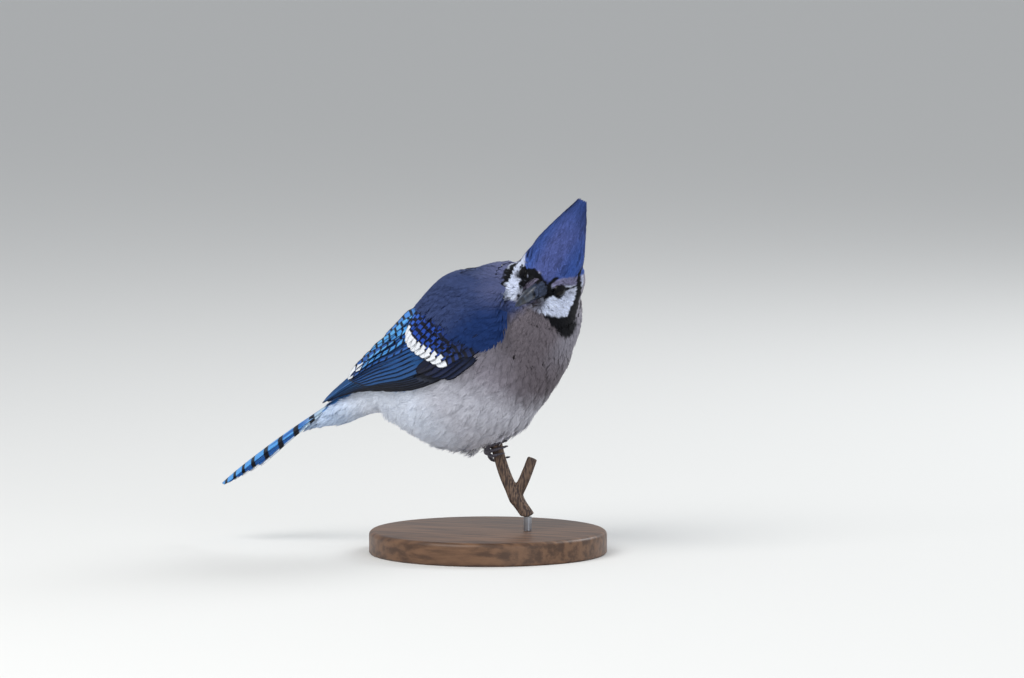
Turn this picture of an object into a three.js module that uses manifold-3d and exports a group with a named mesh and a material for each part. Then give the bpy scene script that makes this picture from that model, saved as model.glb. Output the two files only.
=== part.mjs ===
// A life-size blue jay, fluffed up in the cold, that grips the cut top of a forked stem on a plain stand.
// Millimetres, +Z up. The origin is the centre of the stand's underside, and the bird's body faces +X.
import * as THREE from "three";
import { mergeVertices } from "three/addons/utils/BufferGeometryUtils.js";
import Module from "manifold-3d";

const wasm = await Module();
wasm.setup();

// Driving dimensions
const gap = 0.3; // clear space between touching nodes
const bodyPitch = THREE.MathUtils.degToRad(33); // the body's long axis above the horizon
const gripPoint = new THREE.Vector3(5, 0, 56); // middle of the grip, where the body's axis frame starts

const tail = {
  tip: -143,
  root: -69,
  split: -66,
  level: 66.2,
  sag: 2.6,
  shorter: [0, 3, 7, 12, 18, 25], // how much each pair falls short of the central one
  centralHalfWidth: 6.4,
  outerHalfWidth: 4.3,
  centralOut: 1.6,
  firstStep: 2,
  pairStep: 0.35,
  spacing: 0.32,
  roll: [1, 1.2],
  twist: 17, // degrees, of the central pair and more for each next one
};
const vaneThickness = 0.5;
const neckPlane = { along: 0.958, up: 0.288, distance: 66 }; // the cut below the neck, in the axis frame

const headCentre = new THREE.Vector3(30.4, -6, 88.2); // from the grip point
const headForward = new THREE.Vector3(-0.046, -0.978, -0.203); // it looks out over its right side
const headUp = new THREE.Vector3(0.4225, -0.2032, 0.8834);
const eye = { radius: 3.9, forward: 9.8, out: 9.9, up: 1.8, lid: 0.75 };
const bill = { base: 15, length: 28, halfWidth: 4.6 };

const stem = { radius: 3.2, topRadius: 3.0, armRadius: 2.7 };
const toe = { radius: 1.25, tipRadius: 0.9, clawRadius: 0.75, clawLength: 6.2 };
const base = { radius: 62, height: 12, edge: 2.5, rodRadius: 2.1 };

// Stations along the body's axis: place, back line, belly line and half width
const bodyStations = [
  [-86, 65, 61.8, 3],
  [-72, 66.6, 55.8, 6.5],
  [-57, 68, 51, 9.5],
  [-43, 70.5, 45.5, 13.5],
  [-34, 73, 31, 18.5],
  [-26, 75.5, 15.5, 23.5],
  [-12, 78.5, 5.5, 29],
  [6, 83.4, 1, 33],
  [24, 88, 1.5, 35],
  [42, 87.6, 6.5, 35.5],
  [57, 83.4, 11.5, 33],
  [70, 78.5, 19.5, 29],
  [81, 72, 33, 22],
  [88, 62, 46, 11],
];
// The folded wings stand a little off the flanks, and behind these they taper more slowly than the body.
const wingStations = [
  [-72, 69, 48.5, 8],
  [-56, 71.5, 41.5, 13],
  [-43, 74, 31, 19],
  [-27, 77, 16, 27.5],
  [-12, 79.5, 4.5, 33],
  [6, 84.4, 0, 36.5],
  [24, 89, 0.5, 38],
  [42, 88.6, 5.5, 38],
  [60, 83.2, 11.5, 34],
];
// Stations of the head, from the bill's root to the nape: place, half width, crown and throat
const headStations = [
  [17.5, 4.6, 4.6, -5.2],
  [14, 8.6, 9.4, -8.4],
  [9, 13, 13, -12.6],
  [3, 16.6, 15.8, -16.4],
  [-4, 18.8, 17, -19],
  [-11, 18.4, 16, -19],
  [-17, 14, 12, -15.5],
  [-21, 7, 6, -8],
];

const lerp = THREE.MathUtils.lerp;
const clamp = THREE.MathUtils.clamp;
const degrees = THREE.MathUtils.degToRad;

// A smooth curve through the values of one column, read at a place of the first column.
function column(stations, index, place) {
  const rising = stations[0][0] < stations[stations.length - 1][0];
  const rows = rising ? stations : [...stations].reverse();
  const last = rows.length - 1;
  let k = rows.findIndex(([at]) => at > place) - 1;
  if (k < 0) k = place <= rows[0][0] ? 0 : last - 1;
  const span = rows[k + 1][0] - rows[k][0];
  const slope = (i) => {
    const low = Math.max(i - 1, 0);
    const high = Math.min(i + 1, last);
    return (rows[high][index] - rows[low][index]) / (rows[high][0] - rows[low][0]);
  };
  const t = clamp((place - rows[k][0]) / span, 0, 1);
  const [a, b] = [rows[k][index], rows[k + 1][index]];
  const [ma, mb] = [slope(k) * span, slope(k + 1) * span];
  return (2 * t ** 3 - 3 * t ** 2 + 1) * a + (t ** 3 - 2 * t ** 2 + t) * ma
    + (3 * t ** 2 - 2 * t ** 3) * b + (t ** 3 - t ** 2) * mb;
}

// From the body's axis frame (along, to the left, up) to the part's own.
function fromAxis(along, left, up) {
  const [c, s] = [Math.cos(bodyPitch), Math.sin(bodyPitch)];
  return new THREE.Vector3(along * c - up * s, left, along * s + up * c).add(gripPoint);
}

// The same for a direction.
function axisDirection(along, left, up) {
  return fromAxis(along, left, up).sub(fromAxis(0, 0, 0));
}

const headLeft = new THREE.Vector3().crossVectors(headUp, headForward).normalize();
const headFront = headForward.clone().normalize();
const headTop = new THREE.Vector3().crossVectors(headFront, headLeft);

// From the head's frame (forward, left, up from its centre) to the part's own.
function fromHead(forward, left, up) {
  return gripPoint.clone().add(headCentre)
    .addScaledVector(headFront, forward)
    .addScaledVector(headLeft, left)
    .addScaledVector(headTop, up);
}

// Turns a closed geometry into a solid, and turns its faces round where they point inwards.
function solidOf(geometry) {
  const bare = geometry.clone();
  bare.deleteAttribute("normal");
  bare.deleteAttribute("uv");
  const merged = mergeVertices(bare, 1e-4);
  const p = merged.attributes.position;
  const triVerts = new Uint32Array(merged.index.array);
  const [a, b, c] = [new THREE.Vector3(), new THREE.Vector3(), new THREE.Vector3()];
  let volume = 0;
  for (let i = 0; i < triVerts.length; i += 3) {
    a.fromBufferAttribute(p, triVerts[i]);
    b.fromBufferAttribute(p, triVerts[i + 1]);
    c.fromBufferAttribute(p, triVerts[i + 2]);
    volume += a.dot(b.cross(c));
  }
  if (volume < 0) {
    for (let i = 0; i < triVerts.length; i += 3) {
      [triVerts[i + 1], triVerts[i + 2]] = [triVerts[i + 2], triVerts[i + 1]];
    }
  }
  return new wasm.Manifold(new wasm.Mesh({ numProp: 3, vertProperties: p.array, triVerts }));
}

function joined(solids) {
  return solids.reduce((sum, solid) => sum.add(solid));
}

// A half space as a large box: the side of the plane that its normal points to.
function beyond(point, normal) {
  const size = 600;
  const box = new THREE.BoxGeometry(size, size, size).translate(0, 0, size / 2);
  const up = new THREE.Vector3(0, 0, 1);
  const turn = new THREE.Quaternion().setFromUnitVectors(up, normal.clone().normalize());
  box.applyQuaternion(turn).translate(point.x, point.y, point.z);
  return solidOf(box);
}

// A closed form from a sphere's grid: place(t, angle) with t from end to end and angle round it.
function shaped(around, lengthwise, place) {
  const geometry = new THREE.SphereGeometry(1, around, lengthwise);
  const { position, uv } = geometry.attributes;
  for (let i = 0; i < position.count; i++) {
    const t = 1 - uv.getY(i);
    const p = place(t, uv.getX(i) * 2 * Math.PI);
    position.setXYZ(i, p.x, p.y, p.z);
  }
  return geometry;
}

// 0 at both ends of a form and 1 between them, with round shoulders.
function roundEnds(t, power) {
  return t < 1e-6 || t > 1 - 1e-6 ? 0 : Math.pow(Math.sin(Math.PI * t), power);
}

// A point on the body, or on the wings' guide surface, at an angle from the back's middle line to one side.
function onBody(stations, along, angle, side, lift) {
  const top = column(stations, 1, along);
  const bottom = column(stations, 2, along);
  const half = column(stations, 3, along);
  const left = side * (half + lift) * Math.sin(angle);
  const up = (top + bottom) / 2 + ((top - bottom) / 2 + lift) * Math.cos(angle);
  return fromAxis(along, left, up);
}

function bodyForm(grow) {
  const [rear, front] = [bodyStations[0][0] - 2, bodyStations[bodyStations.length - 1][0] + 3];
  return solidOf(shaped(26, 22, (t, angle) => {
    const eased = lerp(t, (1 - Math.cos(Math.PI * t)) / 2, 0.35);
    const along = lerp(rear - grow, front + grow, eased);
    const full = roundEnds(t, 0.35);
    const top = column(bodyStations, 1, along);
    const bottom = column(bodyStations, 2, along);
    const half = column(bodyStations, 3, along);
    const left = (half + grow) * full * Math.sin(angle);
    const up = (top + bottom) / 2 + ((top - bottom) / 2 + grow) * full * Math.cos(angle);
    return fromAxis(along, left, up);
  }));
}

// Rounds a sine off towards a square section.
function squared(value) {
  return Math.sign(value) * Math.pow(Math.abs(value), 0.85);
}

function headForm(grow) {
  const [front, back] = [headStations[0][0] + 0.8, headStations[headStations.length - 1][0] - 1];
  return solidOf(shaped(20, 13, (t, angle) => {
    const forward = lerp(front + grow, back - grow, lerp(t, (1 - Math.cos(Math.PI * t)) / 2, 0.6));
    const full = roundEnds(t, 0.3);
    const half = column(headStations, 1, forward);
    const crown = column(headStations, 2, forward);
    const throat = column(headStations, 3, forward);
    const left = (half + grow) * full * squared(Math.sin(angle));
    const up = (crown + throat) / 2 + ((crown - throat) / 2 + grow) * full * squared(Math.cos(angle));
    return fromHead(forward, left, up);
  }));
}

const sideways = new THREE.Vector3(0.31, 0.9, 0.22);

// A round limb along a curve. radiusAt(u) gives its radius, its ends are flat or round, and facing is
// a direction that the curve never runs along.
function limb(curve, radiusAt, sides, steps, flat = true, facing = sideways) {
  return solidOf(shaped(sides, steps, (t, angle) => {
    const u = flat ? clamp((t * steps - 1) / (steps - 2), 0, 1) : t;
    const pole = t <= 0 || t >= 1;
    const radius = pole ? 0 : radiusAt(u) * (flat ? 1 : roundEnds(t, 0.3));
    const tangent = curve.getTangentAt(u);
    const across = facing.clone().addScaledVector(tangent, -facing.dot(tangent)).normalize();
    const other = new THREE.Vector3().crossVectors(tangent, across);
    return curve.getPointAt(u)
      .addScaledVector(across, radius * Math.cos(angle))
      .addScaledVector(other, radius * Math.sin(angle));
  }));
}

// One feather vane, split into triangles alike on both faces. frameAt(u) gives its middle line, the
// direction across it and its outer normal. Each row is a place along it and a share of its half width.
function vane(rows, halfWidth, frameAt, camber = 0.35) {
  const points = [];
  for (const [u, share] of rows) {
    const { centre, across, normal } = frameAt(u);
    for (const face of [0.5, -0.5]) {
      for (const edge of [-1, 0, 1]) {
        const rise = face * vaneThickness - camber * share * Math.abs(edge);
        points.push(centre.clone()
          .addScaledVector(across, edge * halfWidth * share)
          .addScaledVector(normal, rise));
      }
    }
  }
  const at = (row, face, column) => row * 6 + face * 3 + column;
  const index = [];
  const quad = (a, b, c, d) => index.push(a, b, c, a, c, d);
  for (let row = 0; row < rows.length - 1; row++) {
    for (const c of [0, 1]) {
      quad(at(row, 0, c), at(row, 0, c + 1), at(row + 1, 0, c + 1), at(row + 1, 0, c));
      index.push(at(row, 1, c), at(row + 1, 1, c + 1), at(row, 1, c + 1));
      index.push(at(row, 1, c), at(row + 1, 1, c), at(row + 1, 1, c + 1));
    }
    quad(at(row, 1, 0), at(row, 0, 0), at(row + 1, 0, 0), at(row + 1, 1, 0));
    quad(at(row, 0, 2), at(row, 1, 2), at(row + 1, 1, 2), at(row + 1, 0, 2));
  }
  const end = rows.length - 1;
  for (const c of [0, 1]) {
    quad(at(0, 0, c), at(0, 1, c), at(0, 1, c + 1), at(0, 0, c + 1));
    quad(at(end, 1, c), at(end, 0, c), at(end, 0, c + 1), at(end, 1, c + 1));
  }
  const geometry = new THREE.BufferGeometry().setFromPoints(points);
  geometry.setIndex(index);
  return solidOf(geometry);
}

const flightRows = [[0, 0.8], [0.42, 1], [0.86, 0.85], [1, 0.25]];
const covertRows = [[0, 0.8], [0.75, 1], [1, 0.5]];
const crestRows = [[0, 1], [1, 0.45]];

// A wing feather that lies on the guide surface, from a root to a tip given as [along, angle in degrees].
function wingVane(side, rows, halfWidth, root, tip, rootLift, tipLift, tilt = 5) {
  const place = (u, more = 0) => {
    const lift = lerp(rootLift, tipLift, Math.min(u * 3, 1));
    const angle = degrees(lerp(root[1], tip[1], u) + more);
    const flatter = lerp(0.3, 1, Math.sin(angle) ** 2);
    return onBody(wingStations, lerp(root[0], tip[0], u), angle, side, lift * flatter);
  };
  return vane(rows, halfWidth, (u) => {
    const centre = place(u);
    const along = place(Math.min(u + 0.05, 1)).sub(place(Math.min(u + 0.05, 1) - 0.1)).normalize();
    const down = place(u, 1).sub(place(u, -1)).normalize();
    const normal = new THREE.Vector3().crossVectors(along, down).multiplyScalar(side).normalize();
    const across = new THREE.Vector3().crossVectors(normal, along).multiplyScalar(side);
    if (across.dot(down) < 0) across.negate();
    const roll = degrees(tilt);
    const rolled = across.clone().multiplyScalar(Math.cos(roll)).addScaledVector(normal, Math.sin(roll));
    normal.multiplyScalar(Math.cos(roll)).addScaledVector(across, -Math.sin(roll));
    return { centre, across: rolled, normal };
  });
}

// The arm under the coverts: a lens on the flank whose rim is sunk into the body.
function wingArm(side) {
  const arm = { along: 27, angle: 64, halfLength: 30, halfAngle: 44, rise: 2.4, rim: -3.6, depth: -6 };
  return solidOf(shaped(16, 6, (t, turn) => {
    const outer = t < 0.5;
    const share = Math.sin(Math.PI * t);
    const lift = lerp(outer ? arm.rise : arm.depth, arm.rim, share ** 2.4);
    const along = arm.along + arm.halfLength * share * Math.cos(turn);
    const angle = degrees(arm.angle + arm.halfAngle * share * Math.sin(turn));
    return onBody(wingStations, along, angle, side, lift);
  }));
}

// The folded wing's tiers, from lowest feather to uppermost: root and lift of these two, and every tip.
const wingTiers = [
  { name: "primaries", rows: flightRows, half: 4.2, roots: [[16, 92], [10, 78]], lifts: [-0.4, 1.6],
    tips: [[-36, 68], [-50, 53], [-61, 39], [-68, 28], [-70, 21]] },
  { name: "secondaries", rows: flightRows, half: 4.8, roots: [[14, 74], [12, 53]], lifts: [2.1, 3.6],
    tips: [[-47, 44], [-47, 35], [-45, 28], [-41, 22]] },
  { name: "tertials", rows: flightRows, half: 5.8, roots: [[14, 46], [12, 34]], lifts: [4.2, 5.6],
    tips: [[-40, 21], [-29, 20], [-17, 20]] },
  { name: "primary coverts", rows: covertRows, half: 3.4, roots: [[32, 97], [30, 90]], lifts: [0.8, 1.4],
    tips: [[10, 95], [6, 91], [0, 86]] },
  { name: "greater coverts", rows: covertRows, half: 4.3, roots: [[24, 89], [22, 36]], lifts: [2.6, 4.6],
    tips: [[8, 89], [7.4, 80], [6.4, 71], [5.2, 62], [3.6, 53], [1.8, 44], [0, 35]] },
  { name: "median coverts", rows: covertRows, half: 5.8, roots: [[40, 86], [38, 42]], lifts: [3.4, 5.2],
    tips: [[24, 86], [23.2, 71], [21.6, 56], [19.4, 41]] },
];

function wing(side, bodyCutter) {
  const pieces = [wingArm(side)];
  for (const tier of wingTiers) {
    tier.tips.forEach((tip, i) => {
      const share = i / (tier.tips.length - 1);
      const root = [0, 1].map((k) => lerp(tier.roots[0][k], tier.roots[1][k], share));
      const lift = lerp(tier.lifts[0], tier.lifts[1], share);
      pieces.push(wingVane(side, tier.rows, tier.half, root, tip, lift - 2.6, lift));
    });
  }
  return joined(pieces).subtract(bodyCutter);
}

// The folded tail: graduated feathers in a roof, each pair tucked under the one inside it.
function tailFeathers() {
  const pieces = [];
  let drop = 0;
  let out = tail.centralOut;
  for (let pair = 0; pair < tail.shorter.length; pair++) {
    const roll = degrees(tail.roll[0] + tail.roll[1] * pair);
    for (const side of [-1, 1]) {
      const turn = side * roll - degrees(tail.twist);
      const tipAlong = tail.tip + tail.shorter[pair];
      const lower = drop + (side > 0 ? 0.3 : 0);
      pieces.push(vane(flightRows, pair ? tail.outerHalfWidth : tail.centralHalfWidth, (u) => {
        const spread = clamp(u * 1.4, 0, 1);
        const left = side * out * lerp(0.45, 1, spread);
        const twisted = left * spread * Math.sin(degrees(tail.twist));
        const up = tail.level - lower * lerp(0.5, 1, spread) - tail.sag * u * u + twisted;
        return {
          centre: fromAxis(lerp(tail.root, tipAlong, u), left, up),
          across: axisDirection(0, Math.cos(turn), -Math.sin(turn)),
          normal: axisDirection(0, Math.sin(turn), Math.cos(turn)),
        };
      }));
    }
    const step = pair ? tail.pairStep : tail.firstStep;
    drop += tail.spacing + step * Math.tan(roll);
    out += step;
  }
  return joined(pieces);
}

// The raised crest's middle line and outline: share of its height, middle (forward and up), half depth,
// half width, and how far the middle leans to the left.
const crestStations = [
  [0, 1, 1, 15.5, 19, 0],
  [0.2, -1.5, 9, 13.6, 17.2, -0.4],
  [0.4, -6, 17, 10.4, 13.3, -1],
  [0.6, -10.4, 25, 7.6, 9.2, -1.6],
  [0.8, -15.6, 33.2, 4.2, 5.2, -2.4],
  [1, -19.9, 39.8, 1.6, 1.8, -3.2],
];

// A point on the crest's surface: share of its height, angle from front to left, and distance outward.
function onCrest(share, angle, lift) {
  const half = Math.max(column(crestStations, 3, share) + lift, 0.5);
  const across = Math.max(column(crestStations, 4, share) + lift, 0.4) * Math.sin(angle);
  const forward = column(crestStations, 1, share) + half * 0.88 * Math.cos(angle);
  const up = column(crestStations, 2, share) + half * 0.48 * Math.cos(angle);
  return fromHead(forward, column(crestStations, 5, share) + across, up);
}

function crestCore() {
  const inset = 1;
  const height = 0.55;
  return solidOf(shaped(14, 7, (t, angle) => {
    const rim = onCrest(t * height, angle, -inset);
    const middle = onCrest(t * height, 0, 0).lerp(onCrest(t * height, Math.PI, 0), 0.5);
    return middle.lerp(rim, roundEnds(t, 0.4));
  }));
}

// Rings of crest feathers, lowest and outermost first: where they start and end, how many, and their size.
const crestRings = [
  { from: 0.12, to: 0.42, count: 8, half: 5.8, lift: 0.9, camber: 1, turn: 0 },
  { from: 0.24, to: 0.62, count: 7, half: 5.2, lift: 0.2, camber: 1.1, turn: 0.5 },
  { from: 0.38, to: 0.82, count: 5, half: 4.6, lift: -0.5, camber: 1.2, turn: 0 },
  { from: 0.5, to: 0.99, count: 3, half: 3.4, lift: -1.5, camber: 1, turn: 0.5 },
];

function crestFeathers() {
  const pieces = [];
  for (const ring of crestRings) {
    for (let k = 0; k < ring.count; k++) {
      const angle = ((k + ring.turn) / ring.count) * 2 * Math.PI;
      const reach = ring.to - 0.05 * (k % 2);
      const place = (u, more = 0) => {
        const lift = ring.lift * (1 - 0.6 * u) - 2.2 * (1 - u) ** 3;
        return onCrest(lerp(ring.from, reach, u), angle + more, lift);
      };
      pieces.push(vane(crestRows, ring.half, (u) => {
        const along = place(u + 0.04).sub(place(u - 0.04)).normalize();
        const round = place(u, 0.1).sub(place(u, -0.1)).normalize();
        const normal = new THREE.Vector3().crossVectors(round, along).normalize();
        return { centre: place(u), across: new THREE.Vector3().crossVectors(along, normal), normal };
      }, ring.camber));
    }
  }
  return joined(pieces);
}

function crest(headCutter) {
  return crestCore().add(crestFeathers()).subtract(headCutter);
}

function eyeBall(side, radius) {
  const centre = fromHead(eye.forward, side * eye.out, eye.up);
  return solidOf(new THREE.SphereGeometry(radius, 11, 7).translate(centre.x, centre.y, centre.z));
}

// A lid ring round one eye, in the plane of the cheek.
function lid(side, grow = 0) {
  const ring = new THREE.TorusGeometry(eye.radius - 0.1, eye.lid + grow, 5, 12);
  ring.scale(1.08, 0.94, 1);
  const outward = headLeft.clone().multiplyScalar(side).addScaledVector(headFront, 0.42).normalize();
  const turn = new THREE.Matrix4().makeBasis(
    new THREE.Vector3().crossVectors(headTop, outward).normalize(), headTop, outward);
  ring.applyMatrix4(turn);
  const centre = fromHead(eye.forward, side * eye.out, eye.up).addScaledVector(outward, 1.9);
  return solidOf(ring.translate(centre.x, centre.y, centre.z));
}

// One half of the bill. Its outline is given by the ridge and the cutting edge along its length.
function billHalf(upper, headCutter) {
  const reach = upper ? bill.length : bill.length - 2;
  const solid = solidOf(shaped(10, 9, (t, angle) => {
    const u = clamp((t * 9 - 1) / 8, 0, 1);
    const forward = lerp(bill.base - 6, bill.base + reach, u);
    const q = clamp((forward - bill.base) / bill.length, -0.2, 1);
    const mouth = -1.7 - 1.3 * q * q;
    const ridge = upper ? 3.6 - 6.2 * Math.max(q, 0) ** 2.1 : -6 + 2.7 * Math.max(q, 0) ** 1.3;
    const edge = mouth + (upper ? gap / 2 : -gap / 2);
    const end = t <= 0 || t >= 1;
    const widest = bill.halfWidth * (upper ? 1 : 0.9);
    const half = end ? 0 : widest * (1 - Math.max(q, 0)) ** 0.8 + 0.35;
    const left = half * Math.sin(angle);
    const arch = end ? 0.5 : Math.cos(angle);
    const up = arch > 0 ? lerp(edge, ridge, Math.min(arch, 1)) : edge;
    return fromHead(forward, left, up);
  }));
  return solid.subtract(headCutter);
}

// The nostrils are small pits at the sides of the upper bill's root.
function nostril(side) {
  const pit = fromHead(bill.base + 5.5, side * 4.1, 0.7);
  return solidOf(new THREE.SphereGeometry(0.8, 8, 6).scale(1.2, 1.5, 1).translate(pit.x, pit.y, pit.z));
}

const fromGrip = (x, y, z) => new THREE.Vector3(x, y, z).add(gripPoint);

const stemCurve = new THREE.CatmullRomCurve3([
  fromGrip(-1.8, 0, 5.5),
  fromGrip(1.2, 0, -5),
  fromGrip(4.3, 0.2, -14.5),
  fromGrip(9.6, 0.5, -25.5),
  fromGrip(17.2, 1, -36.5),
]);
const armCurve = new THREE.CatmullRomCurve3([
  fromGrip(9.9, 0.5, -27),
  fromGrip(14.6, 1.6, -17),
  fromGrip(18.6, 2.8, -6),
]);

// The stem swells a little at its joints.
function stemRadius(u, thin, thick) {
  const joint = Math.exp(-(((u - 0.74) / 0.06) ** 2)) + 0.4 * Math.exp(-(((u - 0.12) / 0.05) ** 2));
  return lerp(thin, thick, u) + 0.7 * joint;
}

function perch() {
  const main = limb(stemCurve, (u) => stemRadius(u, stem.topRadius, stem.radius + 0.3), 12, 18);
  const arm = limb(armCurve, (u) => lerp(stem.armRadius + 0.4, stem.armRadius, u), 10, 6);
  const floorLevel = gripPoint.z - 36.5 + gap;
  return main.add(arm).intersect(beyond(new THREE.Vector3(0, 0, floorLevel), new THREE.Vector3(0, 0, 1)));
}

// A point beside the stem: down it by drop, at an angle round it that starts on the tail's side.
function besideStem(drop, angle, distance) {
  const u = drop / stemCurve.getLength();
  const down = stemCurve.getTangentAt(clamp(u, 0, 1));
  const tailward = new THREE.Vector3(-1, 0, 0);
  tailward.addScaledVector(down, -tailward.dot(down)).normalize();
  const right = new THREE.Vector3().crossVectors(tailward, down).normalize();
  if (right.y > 0) right.negate();
  const centre = stemCurve.getPointAt(clamp(u, 0, 1));
  return centre
    .addScaledVector(tailward, distance * Math.cos(angle))
    .addScaledVector(right, distance * Math.sin(angle));
}

// A toe that wraps round the stem from the pad, and ends in a claw.
function toeWithClaw(pad, drop, turn, clawTurn, side) {
  const reach = stem.radius + 0.5 + gap + toe.radius;
  const path = [];
  const count = 6;
  for (let k = 0; k <= count; k++) {
    const share = k / count;
    const angle = degrees(lerp(pad.angle, pad.angle + turn, share));
    const level = lerp(pad.drop, drop, clamp(share * 2.6, 0, 1));
    const knuckle = 0.25 * Math.abs(Math.sin(share * Math.PI * 3));
    path.push(besideStem(level, side * angle, reach + knuckle));
  }
  const toeCurve = new THREE.CatmullRomCurve3(path);
  const radiusAt = (u) => lerp(toe.radius, toe.tipRadius, u) + 0.12 * Math.cos(u * Math.PI * 6);
  const clawPath = [0, 0.33, 0.66, 1].map((share) => {
    const angle = degrees(pad.angle + turn - Math.sign(turn) * 6 + clawTurn * share);
    const lifted = reach + 1.1 * Math.sin(Math.PI * share) - 0.75 * share;
    return besideStem(drop + 0.3 * share, side * angle, lifted);
  });
  const facing = stemCurve.getTangentAt(0.2);
  const clawCurve = new THREE.CatmullRomCurve3(clawPath);
  const claw = limb(clawCurve, (u) => lerp(toe.clawRadius, 0.22, u), 5, 6, true, facing);
  return limb(toeCurve, radiusAt, 5, 8, false, facing).add(claw);
}

// side is -1 for the right leg, whose front toes cross the stem's right face, and 1 for the left.
function leg(side, bodyCutter, stemCutter) {
  const pad = { drop: side < 0 ? 7.4 : 4.4, angle: 26 };
  const turnSide = -side;
  const spread = 2.8;
  const padReach = stem.radius + 0.5 + gap + 1.5;
  const padCentre = besideStem(pad.drop, turnSide * degrees(pad.angle), padReach);
  const ball = solidOf(new THREE.SphereGeometry(2, 8, 5).translate(padCentre.x, padCentre.y, padCentre.z));
  const pieces = [ball];
  for (const [k, turn] of [[-1, 104], [0, 118], [1, 100]]) {
    pieces.push(toeWithClaw(pad, pad.drop + spread * k, turn, 36, turnSide));
  }
  const hindDrop = side < 0 ? pad.drop + 2 * spread : pad.drop - 2 * spread + 1.6;
  pieces.push(toeWithClaw(pad, hindDrop, -140, -40, turnSide));
  const hip = fromGrip(-14, side * 12, 14);
  const shank = new THREE.CatmullRomCurve3([hip, hip.clone().lerp(padCentre, 0.6), padCentre]);
  pieces.push(limb(shank, (u) => lerp(1.9, 1.35, Math.min(u * 1.3, 1)), 8, 5, false));
  return joined(pieces).subtract(bodyCutter).subtract(stemCutter);
}

// The hollow that the belly's feathers leave round the stem's top and the toes.
function bellyHollow() {
  const down = stemCurve.getTangentAt(0);
  const top = stemCurve.getPointAt(0).addScaledVector(down, -0.8);
  const low = stemCurve.getPointAt(0).addScaledVector(down, 30);
  return limb(new THREE.LineCurve3(top, low), () => 8.2, 20, 4);
}

function standBase() {
  const { radius, height, edge } = base;
  const chamfer = 0.8;
  const profile = [
    new THREE.Vector2(0, 0),
    new THREE.Vector2(radius - chamfer, 0),
    new THREE.Vector2(radius, chamfer),
  ];
  for (let k = 0; k <= 4; k++) {
    const turn = (k / 4) * (Math.PI / 2);
    const round = new THREE.Vector2(Math.cos(turn), Math.sin(turn)).multiplyScalar(edge);
    profile.push(round.add(new THREE.Vector2(radius - edge, height - edge)));
  }
  profile.push(new THREE.Vector2(0, height));
  return solidOf(new THREE.LatheGeometry(profile, 30).rotateX(Math.PI / 2));
}

function standRod() {
  const foot = stemCurve.getPointAt(1);
  const [low, high] = [base.height + gap, gripPoint.z - 36.5];
  const rod = new THREE.CylinderGeometry(base.rodRadius, base.rodRadius, high - low, 20);
  return solidOf(rod.rotateX(Math.PI / 2).translate(foot.x - 0.6, foot.y, (low + high) / 2));
}

const finishes = {
  blueBack: { color: 0x33507c, roughness: 0.75 },
  blueWing: { color: 0x1f5fa8, roughness: 0.6 },
  greyNeck: { color: 0x8a8fa5, roughness: 0.8 },
  black: { color: 0x22232a, roughness: 0.4 },
  eye: { color: 0x0d0a09, roughness: 0.1 },
  foot: { color: 0x1d1b1e, roughness: 0.55 },
  bark: { color: 0x8d7560, roughness: 0.85 },
  wood: { color: 0x6b4a33, roughness: 0.5 },
  steel: { color: 0x9a9ca0, roughness: 0.3, metalness: 1 },
};

const part = new THREE.Group();

// Adds one node. A cut can leave loose scraps, so only the largest closed surface stays.
function addNode(name, solid, finish) {
  const largest = solid.simplify(0.02).decompose().reduce((a, b) => (a.volume() > b.volume() ? a : b));
  const made = largest.getMesh();
  const points = new Float32Array(made.numVert * 3);
  for (let i = 0; i < made.numVert; i++) {
    points.set(made.vertProperties.subarray(i * made.numProp, i * made.numProp + 3), i * 3);
  }
  const geometry = new THREE.BufferGeometry();
  geometry.setAttribute("position", new THREE.BufferAttribute(points, 3));
  geometry.setIndex(new THREE.BufferAttribute(new Uint32Array(made.triVerts), 1));
  geometry.computeVertexNormals();
  const mesh = new THREE.Mesh(geometry, new THREE.MeshStandardMaterial(finishes[finish]));
  mesh.name = name;
  part.add(mesh);
}

const body = bodyForm(0);
const bodyCutter = bodyForm(gap);
const head = headForm(0);
const headCutter = headForm(gap);
const neckNormal = axisDirection(neckPlane.along, 0, neckPlane.up).normalize();
const neckPoint = fromAxis(neckPlane.distance * neckPlane.along, 0, neckPlane.distance * neckPlane.up);
const aboveNeckCut = beyond(neckPoint.clone().addScaledVector(neckNormal, gap / 2), neckNormal);
const downward = neckNormal.clone().negate();
const belowNeckCut = beyond(neckPoint.clone().addScaledVector(downward, gap / 2), downward);
const rearward = axisDirection(-1, 0, 0);
const behindTailCut = beyond(fromAxis(tail.split - gap / 2, 0, 60), rearward);
const aheadOfTailCut = beyond(fromAxis(tail.split + gap / 2, 0, 60), rearward.clone().negate());
const stemCutter = limb(stemCurve, (u) => stemRadius(u, stem.topRadius, stem.radius + 0.3) + gap, 12, 18);

addNode("torso", body.intersect(belowNeckCut).intersect(aheadOfTailCut).subtract(bellyHollow()), "greyNeck");

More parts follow.
